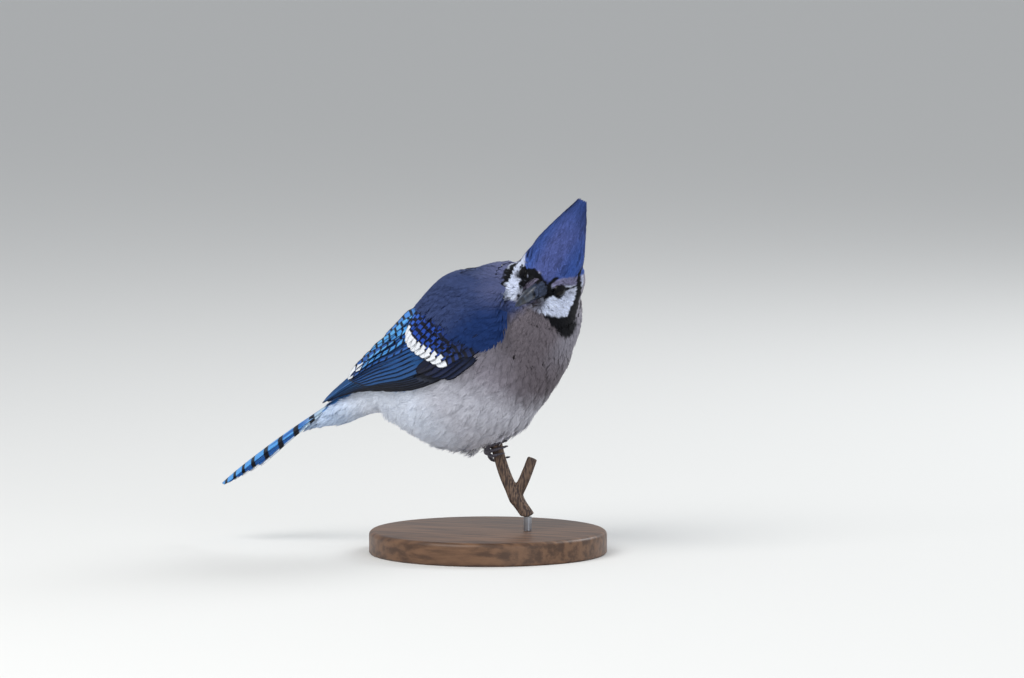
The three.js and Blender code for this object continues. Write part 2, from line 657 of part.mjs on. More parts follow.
const eyeCutters = joined([-1, 1].map((side) => eyeBall(side, eye.radius + gap)));
const billLine = new THREE.LineCurve3(fromHead(8, 0, -1.5), fromHead(46, 0, -2.5));
const billCutter = limb(billLine, (u) => lerp(8, 4, u), 14, 4);
const lidCutter = joined([-1, 1].map((side) => lid(side, gap)));
const faceCutter = joined([headCutter, billCutter, lidCutter, eyeCutters]);
addNode("neck", body.intersect(aboveNeckCut).subtract(faceCutter), "greyNeck");
addNode("head", joined([head, lid(-1), lid(1)]).subtract(eyeCutters), "blueBack");
addNode("crest", crest(headCutter), "blueBack");
addNode("eye_right", eyeBall(-1, eye.radius), "eye");
addNode("eye_left", eyeBall(1, eye.radius), "eye");
addNode("bill_upper", billHalf(true, headCutter).subtract(nostril(-1)).subtract(nostril(1)), "black");
addNode("bill_lower", billHalf(false, headCutter), "black");
addNode("wing_right", wing(-1, bodyCutter.add(headCutter)), "blueWing");
addNode("wing_left", wing(1, bodyCutter.add(headCutter)), "blueWing");
addNode("tail", body.intersect(behindTailCut).add(tailFeathers()), "blueWing");
addNode("leg_right", leg(-1, bodyCutter.subtract(bellyHollow()), stemCutter), "foot");
addNode("leg_left", leg(1, bodyCutter.subtract(bellyHollow()), stemCutter), "foot");
addNode("perch_stem", perch(), "bark");
addNode("stand_rod", standRod(), "steel");
addNode("stand_base", standBase(), "wood");

export default part;
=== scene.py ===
import math

import bmesh
import bpy
import numpy as np
from mathutils import Matrix, Vector
from mathutils.bvhtree import BVHTree
from mathutils.kdtree import KDTree


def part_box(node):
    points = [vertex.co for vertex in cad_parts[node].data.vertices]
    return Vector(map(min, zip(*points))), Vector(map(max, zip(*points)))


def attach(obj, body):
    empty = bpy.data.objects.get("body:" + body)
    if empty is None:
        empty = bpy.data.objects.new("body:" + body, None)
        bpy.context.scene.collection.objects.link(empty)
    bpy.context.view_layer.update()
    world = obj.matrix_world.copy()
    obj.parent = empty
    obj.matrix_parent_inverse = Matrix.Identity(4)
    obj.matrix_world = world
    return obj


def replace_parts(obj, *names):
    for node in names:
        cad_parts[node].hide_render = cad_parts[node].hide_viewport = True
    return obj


# A blue jay, fluffed up in the cold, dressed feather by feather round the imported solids.
# Sizes are in millimetres until a mesh is written, in metres, by addPiece.
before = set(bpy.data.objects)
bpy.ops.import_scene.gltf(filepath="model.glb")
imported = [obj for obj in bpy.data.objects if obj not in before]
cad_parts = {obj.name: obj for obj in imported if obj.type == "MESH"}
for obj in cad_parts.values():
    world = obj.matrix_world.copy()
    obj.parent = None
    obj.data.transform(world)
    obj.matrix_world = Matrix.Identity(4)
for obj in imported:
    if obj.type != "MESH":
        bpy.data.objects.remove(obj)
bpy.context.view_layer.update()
mm = 0.001
draw = np.random.default_rng(11)

# The bird's own frames: the body's axis starts at the grip, the head's at its centre
bird = {
    "pitch": math.radians(33),
    "grip": np.array((5.0, 0.0, 56.0)),
    "headCentre": np.array((35.4, -6.0, 144.2)),
    "headForward": np.array((-0.046, -0.978, -0.203)),
    "headUp": np.array((0.4225, -0.2032, 0.8834)),
}
bodyStations = np.array((
    (-86, 65, 61.8, 3), (-72, 66.6, 55.8, 6.5), (-57, 68, 51, 9.5), (-43, 70.5, 45.5, 13.5),
    (-34, 73, 31, 18.5), (-26, 75.5, 15.5, 23.5), (-12, 78.5, 5.5, 29), (6, 83.4, 1, 33),
    (24, 88, 1.5, 35), (42, 87.6, 6.5, 35.5), (57, 83.4, 11.5, 33), (70, 78.5, 19.5, 29),
    (81, 72, 33, 22), (88, 62, 46, 11),
), float)
wingStations = np.array((
    (-72, 69, 48.5, 8), (-56, 71.5, 41.5, 13), (-43, 74, 31, 19), (-27, 77, 16, 27.5),
    (-12, 79.5, 4.5, 33), (6, 84.4, 0, 36.5), (24, 89, 0.5, 38), (42, 88.6, 5.5, 38),
    (60, 83.2, 11.5, 34),
), float)
crestStations = np.array((
    (0, 1, 1, 15.5, 18.4, 0), (0.2, -1.5, 9, 13.6, 16.2, -0.2), (0.4, -6, 17, 10.4, 12.9, -1),
    (0.6, -10.4, 25, 7.6, 9.2, -1.6), (0.8, -15.6, 33.2, 4.2, 5.2, -2.4), (1, -19.9, 39.8, 1.6, 1.8, -3.2),
), float)


def unit(v):
    return v / np.maximum(np.linalg.norm(v, axis=-1, keepdims=True), 1e-9)


def dot(a, b):
    return np.sum(a * b, axis=-1, keepdims=True)


def ramp(low, high, x):
    t = np.clip((np.asarray(x, float) - low) / (high - low), 0, 1)
    return t * t * (3 - 2 * t)


def lerp(a, b, t):
    return a + (b - a) * t


headLeft = unit(np.cross(bird["headUp"], bird["headForward"]))
headFront = unit(bird["headForward"])
headTop = np.cross(headFront, headLeft)
headAxes = np.array((headFront, headLeft, headTop))
axisAxes = np.array((
    (math.cos(bird["pitch"]), 0, math.sin(bird["pitch"])),
    (0, 1, 0),
    (-math.sin(bird["pitch"]), 0, math.cos(bird["pitch"])),
))


def fromAxis(along, left, up):
    return np.stack(np.broadcast_arrays(along, left, up), -1) @ axisAxes + bird["grip"]


def toAxis(points):
    return (points - bird["grip"]) @ axisAxes.T


def fromHead(forward, left, up):
    return np.stack(np.broadcast_arrays(forward, left, up), -1) @ headAxes + bird["headCentre"]


def toHead(points):
    return (points - bird["headCentre"]) @ headAxes.T


# A smooth curve through one column of some stations
def column(stations, index, place):
    at, value = stations[:, 0], stations[:, index]
    place = np.clip(place, at[0], at[-1])
    k = np.clip(np.searchsorted(at, place, side="right") - 1, 0, len(at) - 2)
    low, high = np.maximum(np.arange(len(at)) - 1, 0), np.minimum(np.arange(len(at)) + 1, len(at) - 1)
    slope = (value[high] - value[low]) / (at[high] - at[low])
    span = at[k + 1] - at[k]
    t = (place - at[k]) / span
    return ((2 * t**3 - 3 * t**2 + 1) * value[k] + (t**3 - 2 * t**2 + t) * slope[k] * span
            + (3 * t**2 - 2 * t**3) * value[k + 1] + (t**3 - t**2) * slope[k + 1] * span)


# A point on the body or the wings' guide surface, at an angle from the middle of the back
def onBody(stations, along, degrees, side, lift):
    angle = np.radians(degrees)
    top, bottom, half = (column(stations, i, along) for i in (1, 2, 3))
    left = side * (half + lift) * np.sin(angle)
    return fromAxis(along, left, (top + bottom) / 2 + ((top - bottom) / 2 + lift) * np.cos(angle))


# Which angle from the middle of the back a point of the body has
def backAngle(axisPoints):
    along, left, up = axisPoints.T
    middle = (column(bodyStations, 1, along) + column(bodyStations, 2, along)) / 2
    return np.degrees(np.arctan2(np.abs(left), up - middle))


def onCrest(share, angle, lift):
    share = np.asarray(share, float)
    half = np.maximum(column(crestStations, 3, share) + lift, 0.5)
    across = np.maximum(column(crestStations, 4, share) + lift, 0.4) * np.sin(angle)
    beyond = np.maximum(share - 1, 0)
    forward = column(crestStations, 1, share) + half * 0.88 * np.cos(angle) - 22 * beyond
    up = column(crestStations, 2, share) + half * 0.48 * np.cos(angle) + 36 * beyond
    return fromHead(forward, column(crestStations, 5, share) + across, up)


# Camera: degrees, and millimetres from the grip in the picture's own plane
cameraView = {
    "azimuth": 20, "elevation": 5, "distance": 3200, "right": 7.8, "up": 55.6, "width": 532.5, "sensor": 36,
    "clip": (0.05, 60),
}


def placeCamera():
    view = cameraView
    turn, rise = math.radians(view["azimuth"]), math.radians(view["elevation"])
    right = Vector((math.cos(turn), math.sin(turn), 0))
    towards = Vector((math.sin(turn) * math.cos(rise), -math.cos(turn) * math.cos(rise), math.sin(rise)))
    up = towards.cross(right)
    aim = Vector(bird["grip"]) + right * view["right"] + up * view["up"]
    data = bpy.data.cameras.new("photoCamera")
    data.sensor_width = view["sensor"]
    data.lens = data.sensor_width * view["distance"] / view["width"]
    data.clip_start, data.clip_end = view["clip"]
    turned = Matrix((right, up, towards)).transposed().to_4x4()
    camera = bpy.data.objects.new("photoCamera", data)
    camera.matrix_world = Matrix.Translation((aim + towards * view["distance"]) * mm) @ turned
    bpy.context.scene.collection.objects.link(camera)
    bpy.context.scene.camera = camera


# Studio: each lamp's place, size, power and colour, in metres and watts
studioLook = {
    "aim": (0, 0, 0.1), "world": 0.55, "worldColour": (0.93, 0.96, 1.0, 1), "floorColour": (226, 226, 224),
    "floorHalf": 40000,
    "lamps": {
        "keyLight": ((-0.5, -1.3, 1.5), 1.3, 26, (1, 0.985, 0.96)),
        "fillLight": ((1.5, -1.2, 0.5), 1.4, 9, (0.9, 0.95, 1)),
        "backLight": ((0.9, 1.3, 1.2), 0.9, 16, (0.96, 0.98, 1)),
    },
}


def lightStudio():
    for name, (place, size, power, colour) in studioLook["lamps"].items():
        data = bpy.data.lights.new(name, "AREA")
        data.size, data.energy, data.color = size, power, colour
        lamp = bpy.data.objects.new(name, data)
        lamp.location = place
        towardAim = Vector(studioLook["aim"]) - Vector(place)
        lamp.rotation_euler = towardAim.to_track_quat("-Z", "Y").to_euler()
        bpy.context.scene.collection.objects.link(lamp)
    world = bpy.data.worlds.new("paleStudio")
    world.use_nodes = True
    background = world.node_tree.nodes["Background"]
    background.inputs["Color"].default_value = studioLook["worldColour"]
    background.inputs["Strength"].default_value = studioLook["world"]
    bpy.context.scene.world = world
    bpy.context.scene.view_settings.view_transform = "Standard"


# Colours, as they look on a screen
palette = {
    "mantle": (52, 66, 108), "lowMantleShade": (24, 48, 98), "nape": (96, 100, 136), "rump": (64, 122, 190),
    "crown": (72, 84, 140), "crownSide": (58, 86, 158), "crownTip": (50, 72, 132), "brow": (118, 116, 148),
    "black": (7, 8, 15), "cheek": (200, 208, 230), "throat": (138, 138, 154), "breast": (104, 97, 104),
    "flank": (142, 137, 148), "belly": (202, 203, 214), "vent": (222, 229, 243), "under": (188, 205, 230),
    "bristle": (66, 76, 100), "bristleWarm": (110, 104, 126), "rimLightLine": (150, 148, 160),
}


def linear(colour):
    value = np.asarray(colour, float) / 255
    return np.where(value <= 0.04045, value / 12.92, ((value + 0.055) / 1.055) ** 2.4)


def rgba(colour):
    return (*linear(colour), 1.0)


# How far points are from a line, and how far along it they lie, from 0 to 1
def awayFrom(points, line):
    line = np.asarray(line, float)
    nearest = np.full(len(points), 1e9)
    share = np.zeros(len(points))
    for k in range(len(line) - 1):
        a, d = line[k], line[k + 1] - line[k]
        t = np.clip(((points - a) @ d) / (d @ d), 0, 1)
        distance = np.linalg.norm(points - a - t[:, None] * d, axis=1)
        closer = distance < nearest
        nearest = np.where(closer, distance, nearest)
        share = np.where(closer, (k + t) / (len(line) - 1), share)
    return nearest, share


# The head's black lines, each a row of points in the head's frame: forward, left, up, and half the width.
# They are compared by their direction from the head's middle.
faceMarks = {
    "lore": ((15.2, 3.6, 3.2, 2.0), (15, 5, 1.0, 3.0), (13.8, 7, -0.2, 3.0), (12.2, 9.2, 0.6, 2.2)),
    "gape": ((15.4, 4.6, 1, 1.7), (14.9, 5, -2, 1.8), (14.4, 5.8, -4.6, 0.6)),
    "foreheadLeft": ((14.6, 5.3, 4.6, 1.3), (13, 6.4, 6.8, 1.5), (11.0, 7.6, 8.6, 0.9)),
    "forehead": ((12.4, -10.5, 1.2, 1.2), (12.3, -8, 4.4, 2.0), (13, -5.4, 6.2, 2.3),
                 (14.6, -2.1, 5.6, 1.6), (15.7, 1.6, 4, 1.5), (15.3, 4.6, 2.6, 1.6)),
    "eyeLeft": ((13.3, 7.6, 1.2, 2.0), (11.6, 9.8, 1.6, 2.4), (9, 11.8, 2.2, 2.2), (6.6, 13.2, 3.2, 1.0)),
    "eyeLineLeft": ((6.6, 13.2, 3.2, 1.0), (4.2, 15, 4.1, 0.6), (1.7, 16.4, 4.8, 0.5)),
    "eyeRight": ((13.3, -7.6, 1.2, 1.8), (12, -9.8, 1.0, 2.2), (9, -12, 1.6, 1.9), (5.4, -14.2, 2.6, 0.9)),
    "gapeRight": ((13.4, -9.2, 0.4, 1.5), (15.7, -8.8, -2.2, 1.1), (19.3, -7.2, -5.2, 0.8),
                  (21.6, -6.4, -8, 0.5)),
    "collarLeft": ((-7, 13, 15, 0.5), (0.2, 15.8, 11.5, 1.3), (0.2, 17.2, 6.4, 1.9), (-1, 17.8, 1.5, 2.3),
                   (-2, 18.4, -3.4, 2.9), (0.4, 19.6, -7.6, 3.9), (3, 21, -11, 3.7), (6, 21.6, -14.4, 3.0),
                   (11, 19.9, -15.2, 2.4), (15.2, 17.2, -14.2, 1.9), (18, 13.6, -12.3, 1.1),
                   (20, 10, -11.5, 0.2)),
    "collarRight": ((-3.4, -17, 10, 0.3), (-3.2, -18.6, 7.4, 0.8), (-2, -20.4, 3.6, 1.1),
                    (1, -22.6, 0, 1.3), (9.4, -21.6, -2.4, 1.35), (15, -19.8, -4.8, 1.1),
                    (18.6, -18, -7.4, 0.7), (21, -15.8, -9.3, 0.4), (24, -10, -11.2, 0.2)),
}
# The lower edge of the white face, on the same globe: forward, then its height on the left and on the right
faceEdge = (
    (-7, -5.2, -3.4, -1, 1.6, 4.3, 7, 9.8, 12.6, 14.5, 16.4),
    (8, 1, -4.4, -6.8, -9.9, -10.5, -10.6, -10, -9.3, -8.8, -8.2),
    (6, 4, 0, -0.4, -0.6, -0.8, -1.7, -2.8, -4.4, -5.7, -7),
)
# The lower edge of the blue crown: left, then its height
crownEdge = (
    (-18, -12.7, -10.6, -8.2, -5.8, -2.6, -0.7, 2.2, 4.5, 5.2, 5.9, 6.5, 7.8, 9.6, 12, 18),
    (8, 5.0, 3.4, 4.6, 6.4, 7.6, 7.0, 5.2, 3.8, 3.6, 4.6, 5.9, 7.2, 8.4, 9.4, 9.6),
)
faceCentre = np.array((3.0, 0.0, -2.0))
globeRadius = 20


def onGlobe(places):
    return unit(np.asarray(places, float) - faceCentre) * globeRadius


def mixed(a, b, share):
    return a + (b - a) * np.asarray(share)[:, None]


# The colours change softly between the two values of each pair: millimetres along the body's axis, degrees
# from the middle of the back, or millimetres in the head's frame
coatChanges = {
    "rump": (-14, 6), "flank": (48, 24), "belly": (30, 6), "vent": (0, -22), "under": (-46, -70),
    "blueEdge": ((-90, -60, -40, -20, 0, 20, 36, 46, 60, 75), (52, 56, 66, 80, 86, 93, 93, 88, 85, 80)),
    "headReach": 62, "faceReach": (31, 28), "markReach": 32, "markSoft": 0.35,
}


def blueBack(axisPoints, angle):
    tone = {name: linear(value) for name, value in palette.items()}
    along, _, up = axisPoints.T
    blue = mixed(tone["rump"], tone["mantle"], ramp(*coatChanges["rump"], along))
    # painted shade: the mantle is darker blue low on its sides above the wing, as under light from above
    blue = mixed(blue, tone["lowMantleShade"], ramp(60, 80, angle) * ramp(64, 46, along) * ramp(-10, 6, along))
    return mixed(blue, tone["nape"], 0.9 * ramp(42, 64, along + 0.12 * (up - 60)) * ramp(88, 64, angle))


# The plumage's colour at points of the coat
def plumage(points):
    axisPoints, headPoints = toAxis(points), toHead(points)
    along = axisPoints[:, 0]
    tone = {name: linear(value) for name, value in palette.items()}
    wander = 1.8 * np.sin(points[:, 0] * 0.9) * np.sin(points[:, 1] * 0.8 + 1) * np.sin(points[:, 2] * 0.85)
    angle = backAngle(axisPoints) + wander

    below = angle - 120
    under = mixed(tone["breast"], tone["flank"], ramp(*coatChanges["flank"], along + 0.2 * below))
    under = mixed(under, tone["belly"], ramp(*coatChanges["belly"], along - 0.25 * below))
    under = mixed(under, tone["vent"], ramp(*coatChanges["vent"], along))
    under = mixed(under, tone["under"], ramp(*coatChanges["under"], along))
    # painted highlight: a pale band down the front of the breast stands in for the rim light along its edge
    under = mixed(under, tone["rimLightLine"], 0.7 * ramp(132, 160, angle) * ramp(46, 66, along))
    edge = np.interp(along, *coatChanges["blueEdge"])
    blend = lerp(3, 9, ramp(36, 56, along))
    colour = mixed(blueBack(axisPoints, angle), under, ramp(edge - blend, edge + blend, angle))

    near = np.flatnonzero(np.linalg.norm(headPoints - faceCentre, axis=1) < coatChanges["headReach"])
    colour[near] = headMarkings(points[near], headPoints[near], colour[near], tone)
    return colour


# The white face, the black round the bill, the brow, the blue crown, the eyes' rims, then the black lines
def headMarkings(points, headPoints, colour, tone):
    forward, left, rise = headPoints.T
    out, reach = np.abs(left), np.linalg.norm(headPoints - faceCentre, axis=1)
    near = ramp(*coatChanges["faceReach"], reach)
    globe = onGlobe(headPoints)
    rightRim, leftRim = (np.interp(globe[:, 0], faceEdge[0], faceEdge[k]) for k in (2, 1))
    rim = lerp(rightRim, leftRim, ramp(-8, 8, left))
    onFace = ramp(-0.4, 0.4, globe[:, 2] - rim) * near * ramp(-8, -6, globe[:, 0])
    # The face turns to the throat's grey low near the middle; on the left cheek behind the eye its white is
    # painted greyer, as painted shade
    shade = ramp(9, 5, out) * ramp(-4, -7, rise)
    shade = shade + 0.35 * ramp(11, 7, forward) * ramp(-4, 1, rise) * (left > 0)
    colour = mixed(colour, mixed(tone["cheek"], tone["throat"], np.clip(shade, 0, 1)), onFace)

    fromBill = np.hypot(left, rise + 0.5)
    mask = ramp(8.4, 7.4, fromBill) * ramp(9.5, 11, forward) * ramp(-5, -3.6, rise) * near
    colour = mixed(colour, tone["black"], mask)
    lowest = lerp(3.0, 1.4, ramp(9, 11.5, forward))
    browShare = near * ramp(lowest, lowest + 1.2, rise - 0.1 * out) * ramp(-4, 0, forward) * (1 - mask)
    colour = mixed(colour, mixed(tone["brow"], tone["cheek"], 0.7 * ramp(-11, -13, left)), browShare)

    edge = np.interp(left, *crownEdge)
    crown = ramp(-0.6, 0.6, rise - edge) * ramp(60, 52, reach) * ramp(-30, -22, forward + 0.3 * rise)
    blue = mixed(tone["crown"], tone["crownSide"], ramp(3, 12, out))
    colour = mixed(colour, mixed(blue, tone["crownTip"], ramp(22, 42, rise)), crown)
    colour = mixed(colour, tone["black"], ramp(4.0, 3.3, fromEyeAxis(points)[0]) * ramp(18, 15, reach))

    most, soft = coatChanges["markReach"], coatChanges["markSoft"]
    behind = 7 * ramp(0, -6, forward) * ramp(4, -4, left)
    close = np.flatnonzero(reach < most)
    within = ramp(most, most - 3, reach[close] + behind[close])
    places = globe[close] + 0.3 * np.sin(points[close, ::-1] * 2.3)
    for mark in faceMarks.values():
        mark = np.array(mark, float)
        distance, share = awayFrom(places, onGlobe(mark[:, :3]))
        half = np.interp(share, np.linspace(0, 1, len(mark)), mark[:, 3])
        inside = ramp(half + soft, half - soft, distance) * within
        colour[close] = mixed(colour[close], tone["black"], inside)
    return colour


# Meshes
def placeObject(name, mesh):
    made = bpy.data.objects.new(name, mesh)
    bpy.context.scene.collection.objects.link(made)
    return made


def addPiece(name, points, faces, material):
    mesh = bpy.data.meshes.new(name)
    faces = np.asarray(faces, np.int32)
    corners = faces.shape[1]
    mesh.vertices.add(len(points))
    mesh.vertices.foreach_set("co", (np.asarray(points) * mm).astype(np.float32).ravel())
    mesh.loops.add(faces.size)
    mesh.loops.foreach_set("vertex_index", faces.ravel())
    mesh.polygons.add(len(faces))
    mesh.polygons.foreach_set("loop_start", np.arange(0, faces.size, corners, dtype=np.int32))
    mesh.polygons.foreach_set("use_smooth", np.full(len(faces), True))
    mesh.update(calc_edges=True)
    mesh.materials.append(material)
    piece = placeObject(name, mesh)
    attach(piece, "root")
    return piece


def setTone(mesh, colours):
    layer = mesh.color_attributes.new("tone", "FLOAT_COLOR", "POINT")
    values = np.ones((len(mesh.vertices), 4), np.float32)
    values[:, :3] = colours
    layer.data.foreach_set("color", values.ravel())


# Shading follows the body under the feathers for the most part, as it does on a soft coat
def softenNormals(mesh, under, share):
    own = meshNormals(mesh)
    own = np.where(dot(own, under) < 0, -own, own)
    mesh.normals_split_custom_set_from_vertices(unit(lerp(own, under, share)).tolist())


def setMap(mesh, name, places):
    loops = np.zeros(len(mesh.loops), np.int32)
    mesh.loops.foreach_get("vertex_index", loops)
    layer = mesh.uv_layers.new(name=name)
    layer.uv.foreach_set("vector", np.asarray(places, np.float32)[loops].ravel())


def meshPoints(mesh):
    points = np.zeros(len(mesh.vertices) * 3, np.float32)
    mesh.vertices.foreach_get("co", points)
    return points.reshape(-1, 3).astype(float) / mm


def meshNormals(mesh):
    normals = np.zeros(len(mesh.vertices) * 3, np.float32)
    mesh.vertices.foreach_get("normal", normals)
    return normals.reshape(-1, 3).astype(float)


# A closed round form: each point of a sphere goes where place puts it, given its share from pole to pole
# and its angle round. Its seam and poles are a sphere's own.
def mappedSphere(around, lengthwise, place):
    made = bmesh.new()
    bmesh.ops.create_uvsphere(made, u_segments=around, v_segments=lengthwise, radius=1)
    made.verts.ensure_lookup_table()
    co = np.array([v.co for v in made.verts])
    share = np.arccos(np.clip(co[:, 2], -1, 1)) / math.pi
    angle = np.arctan2(co[:, 1], co[:, 0])
    for v, point in zip(made.verts, place(share, angle)):
        v.co = point
    bmesh.ops.recalc_face_normals(made, faces=made.faces)
    return made


def pieceFromBmesh(name, made, material, levels=0):
    mesh = bpy.data.meshes.new(name)
    for v in made.verts:
        v.co *= mm
    made.to_mesh(mesh)
    made.free()
    mesh.shade_smooth()
    mesh.materials.append(material)
    piece = placeObject(name, mesh)
    if levels:
        subdivision = piece.modifiers.new("finer", "SUBSURF")
        subdivision.levels = subdivision.render_levels = levels
    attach(piece, "root")
    return piece


# The piece's mesh as one closed surface of small even faces, ready to be worked on
def remeshed(piece, voxel):
    remesh = piece.modifiers.new("voxels", "REMESH")
    remesh.mode, remesh.voxel_size = "VOXEL", voxel * mm
    done = bpy.data.meshes.new_from_object(piece.evaluated_get(bpy.context.evaluated_depsgraph_get()))
    piece.modifiers.clear()
    made = bmesh.new()
    made.from_mesh(done)
    return made


def smoothOut(made, times):
    for _ in range(times):
        bmesh.ops.smooth_vert(made, verts=made.verts, factor=0.5, use_axis_x=True, use_axis_y=True,
                              use_axis_z=True)


# Shader helpers
def newMaterial(name, roughness=0.7, specular=0.5, sheen=0.0):
    material = bpy.data.materials.new(name)
    material.use_nodes = True
    shader = material.node_tree.nodes["Principled BSDF"]
    shader.inputs["Roughness"].default_value = roughness
    shader.inputs["Specular IOR Level"].default_value = specular
    shader.inputs["Sheen Weight"].default_value = sheen
    return material, material.node_tree, shader


def node(tree, kind, **values):
    made = tree.nodes.new(kind)
    for key, value in values.items():
        setattr(made, key, value)
    return made


# Puts a plain value on a socket, or links another socket into it
def feed(tree, socket, term):
    if isinstance(term, (int, float, tuple)):
        socket.default_value = term
    else:
        tree.links.new(term, socket)


def maths(tree, operation, *terms):
    made = node(tree, "ShaderNodeMath", operation=operation)
    for socket, term in zip(made.inputs, terms):
        feed(tree, socket, term)
    return made.outputs[0]


# The Mix node's sockets for colours are its seventh and eighth, and its third output
def mixColour(tree, share, a, b, blend="MIX"):
    made = node(tree, "ShaderNodeMix", data_type="RGBA", blend_type=blend)
    for index, term in ((0, share), (6, a), (7, b)):
        feed(tree, made.inputs[index], term)
    return made.outputs[2]


def smoothStep(tree, value, low, high):
    made = node(tree, "ShaderNodeMapRange", interpolation_type="SMOOTHSTEP")
    for name, term in (("Value", value), ("From Min", low), ("From Max", high)):
        feed(tree, made.inputs[name], term)
    return made.outputs[0]


# A colour made lighter or darker by one value
def shaded(tree, colour, value):
    grey = node(tree, "ShaderNodeCombineColor")
    for channel in grey.inputs[:3]:
        tree.links.new(value, channel)
    return mixColour(tree, 1.0, colour, grey.outputs[0], "MULTIPLY")


def objectNoise(tree, scale, detail=3.0, roughness=0.55, stretch=None):
    place = node(tree, "ShaderNodeTexCoord").outputs["Object"]
    if stretch:
        stretched = node(tree, "ShaderNodeMapping")
        stretched.inputs["Scale"].default_value = stretch
        tree.links.new(place, stretched.inputs["Vector"])
        place = stretched.outputs[0]
    made = node(tree, "ShaderNodeTexNoise")
    for name, term in (("Scale", scale), ("Detail", detail), ("Roughness", roughness), ("Vector", place)):
        feed(tree, made.inputs[name], term)
    return made.outputs["Fac"]


def bumpInto(tree, shader, height, distance, strength=1.0):
    bump = node(tree, "ShaderNodeBump")
    bump.inputs["Strength"].default_value = strength
    bump.inputs["Distance"].default_value = distance
    tree.links.new(height, bump.inputs["Height"])
    tree.links.new(bump.outputs["Normal"], shader.inputs["Normal"])


# Slow and fine unevenness of colour, as one shared group
def buildUneven():
    group = bpy.data.node_groups.new("unevenTone", "ShaderNodeTree")
    group.interface.new_socket("Color", in_out="INPUT", socket_type="NodeSocketColor")
    group.interface.new_socket("Amount", in_out="INPUT", socket_type="NodeSocketFloat")
    group.interface.new_socket("Color", in_out="OUTPUT", socket_type="NodeSocketColor")
    group.interface.new_socket("Grain", in_out="OUTPUT", socket_type="NodeSocketFloat")
    enter, leave = node(group, "NodeGroupInput"), node(group, "NodeGroupOutput")
    slow, fine = objectNoise(group, 90), objectNoise(group, 900)
    both = maths(group, "ADD", maths(group, "MULTIPLY", slow, 0.6), maths(group, "MULTIPLY", fine, 0.4))
    shade = maths(group, "MULTIPLY_ADD", maths(group, "SUBTRACT", both, 0.5), enter.outputs["Amount"], 1.0)
    group.links.new(shaded(group, enter.outputs["Color"], shade), leave.inputs[0])
    group.links.new(fine, leave.inputs["Grain"])
    return group


# The pattern of a long feather: masks of the bars, the tip, the edges and the shaft, and the fine barbs.
# Its map "vane" holds mm across and from the tip, its map "rim" mm from the edge and the place of the bars.
patternLook = {
    "ragged": 700, "barSoft": 0.045, "tipSoft": 0.25, "lastBar": 70.0, "shaft": (0.32, 0.16),
    "barbSlant": -1.3, "barbPitch": 15.0,
}


def buildVanePattern():
    look = patternLook
    group = bpy.data.node_groups.new("vanePattern", "ShaderNodeTree")
    for names, way in ((("Bar spacing", "Bar share", "Bar slant", "Tip length", "Edge width"), "INPUT"),
                       (("Bars", "Tip", "Edge", "Shaft", "Barbs"), "OUTPUT")):
        for name in names:
            group.interface.new_socket(name, in_out=way, socket_type="NodeSocketFloat")
    enter, leave = node(group, "NodeGroupInput"), node(group, "NodeGroupOutput")
    parts = {}
    for name in ("vane", "rim"):
        split = node(group, "ShaderNodeSeparateXYZ")
        group.links.new(node(group, "ShaderNodeUVMap", uv_map=name).outputs["UV"], split.inputs[0])
        parts[name] = split.outputs
    across, fromTip = parts["vane"][0], parts["vane"][1]
    out = maths(group, "ABSOLUTE", across)
    ragged = maths(group, "MULTIPLY_ADD", objectNoise(group, look["ragged"]), 1.6, -0.8)

    slanted = maths(group, "MULTIPLY_ADD", out, enter.outputs["Bar slant"], parts["rim"][1])
    uneven = maths(group, "MULTIPLY_ADD", ragged, 0.35, slanted)
    wave = maths(group, "FRACT", maths(group, "DIVIDE", uneven, enter.outputs["Bar spacing"]))
    middle = maths(group, "ABSOLUTE", maths(group, "SUBTRACT", wave, 0.5))
    inside = maths(group, "SUBTRACT", maths(group, "MULTIPLY", enter.outputs["Bar share"], 0.5), middle)
    bars = smoothStep(group, inside, -look["barSoft"], look["barSoft"])
    bars = maths(group, "MULTIPLY", bars, maths(group, "LESS_THAN", fromTip, look["lastBar"]))

    tipEdge = maths(group, "MULTIPLY_ADD", ragged, 0.7, fromTip)
    inTip = maths(group, "SUBTRACT", enter.outputs["Tip length"], tipEdge)
    # the dark edge is partly the vane's own dark border and partly painted shadow cast by the feather lying
    # over it
    fromEdge = maths(group, "MULTIPLY_ADD", ragged, 0.2, parts["rim"][0])
    inner = maths(group, "MULTIPLY", enter.outputs["Edge width"], 0.4)
    edge = maths(group, "SUBTRACT", 1.0, smoothStep(group, fromEdge, inner, enter.outputs["Edge width"]))
    alongBarb = maths(group, "MULTIPLY_ADD", out, look["barbSlant"], fromTip)
    masks = {
        "Bars": bars, "Tip": smoothStep(group, inTip, -look["tipSoft"], look["tipSoft"]), "Edge": edge,
        "Shaft": smoothStep(group, out, *look["shaft"]),
        "Barbs": maths(group, "SINE", maths(group, "MULTIPLY", alongBarb, look["barbPitch"])),
    }
    for name, mask in masks.items():
        group.links.new(mask, leave.inputs[name])
    return group


# A colour, or a socket's colours, made uneven. With a shader it becomes the shader's base colour.
def unevenColour(tree, amount, colour, shader=None):
    uneven = node(tree, "ShaderNodeGroup", node_tree=unevenTone)
    uneven.inputs["Amount"].default_value = amount
    feed(tree, uneven.inputs["Color"], colour)
    if shader:
        tree.links.new(uneven.outputs["Color"], shader.inputs["Base Color"])
    return uneven


def meshTone(tree):
    return node(tree, "ShaderNodeAttribute", attribute_name="tone").outputs["Color"]


# Plumage of the skin and of every tuft: the tone comes with the mesh
def plumageMaterial(name, amount, roughness, sheen):
    material, tree, shader = newMaterial(name, roughness, 0.12, sheen)
    uneven = unevenColour(tree, amount, meshTone(tree), shader)
    bumpInto(tree, shader, uneven.outputs["Grain"], 0.00015, 0.5)
    return material
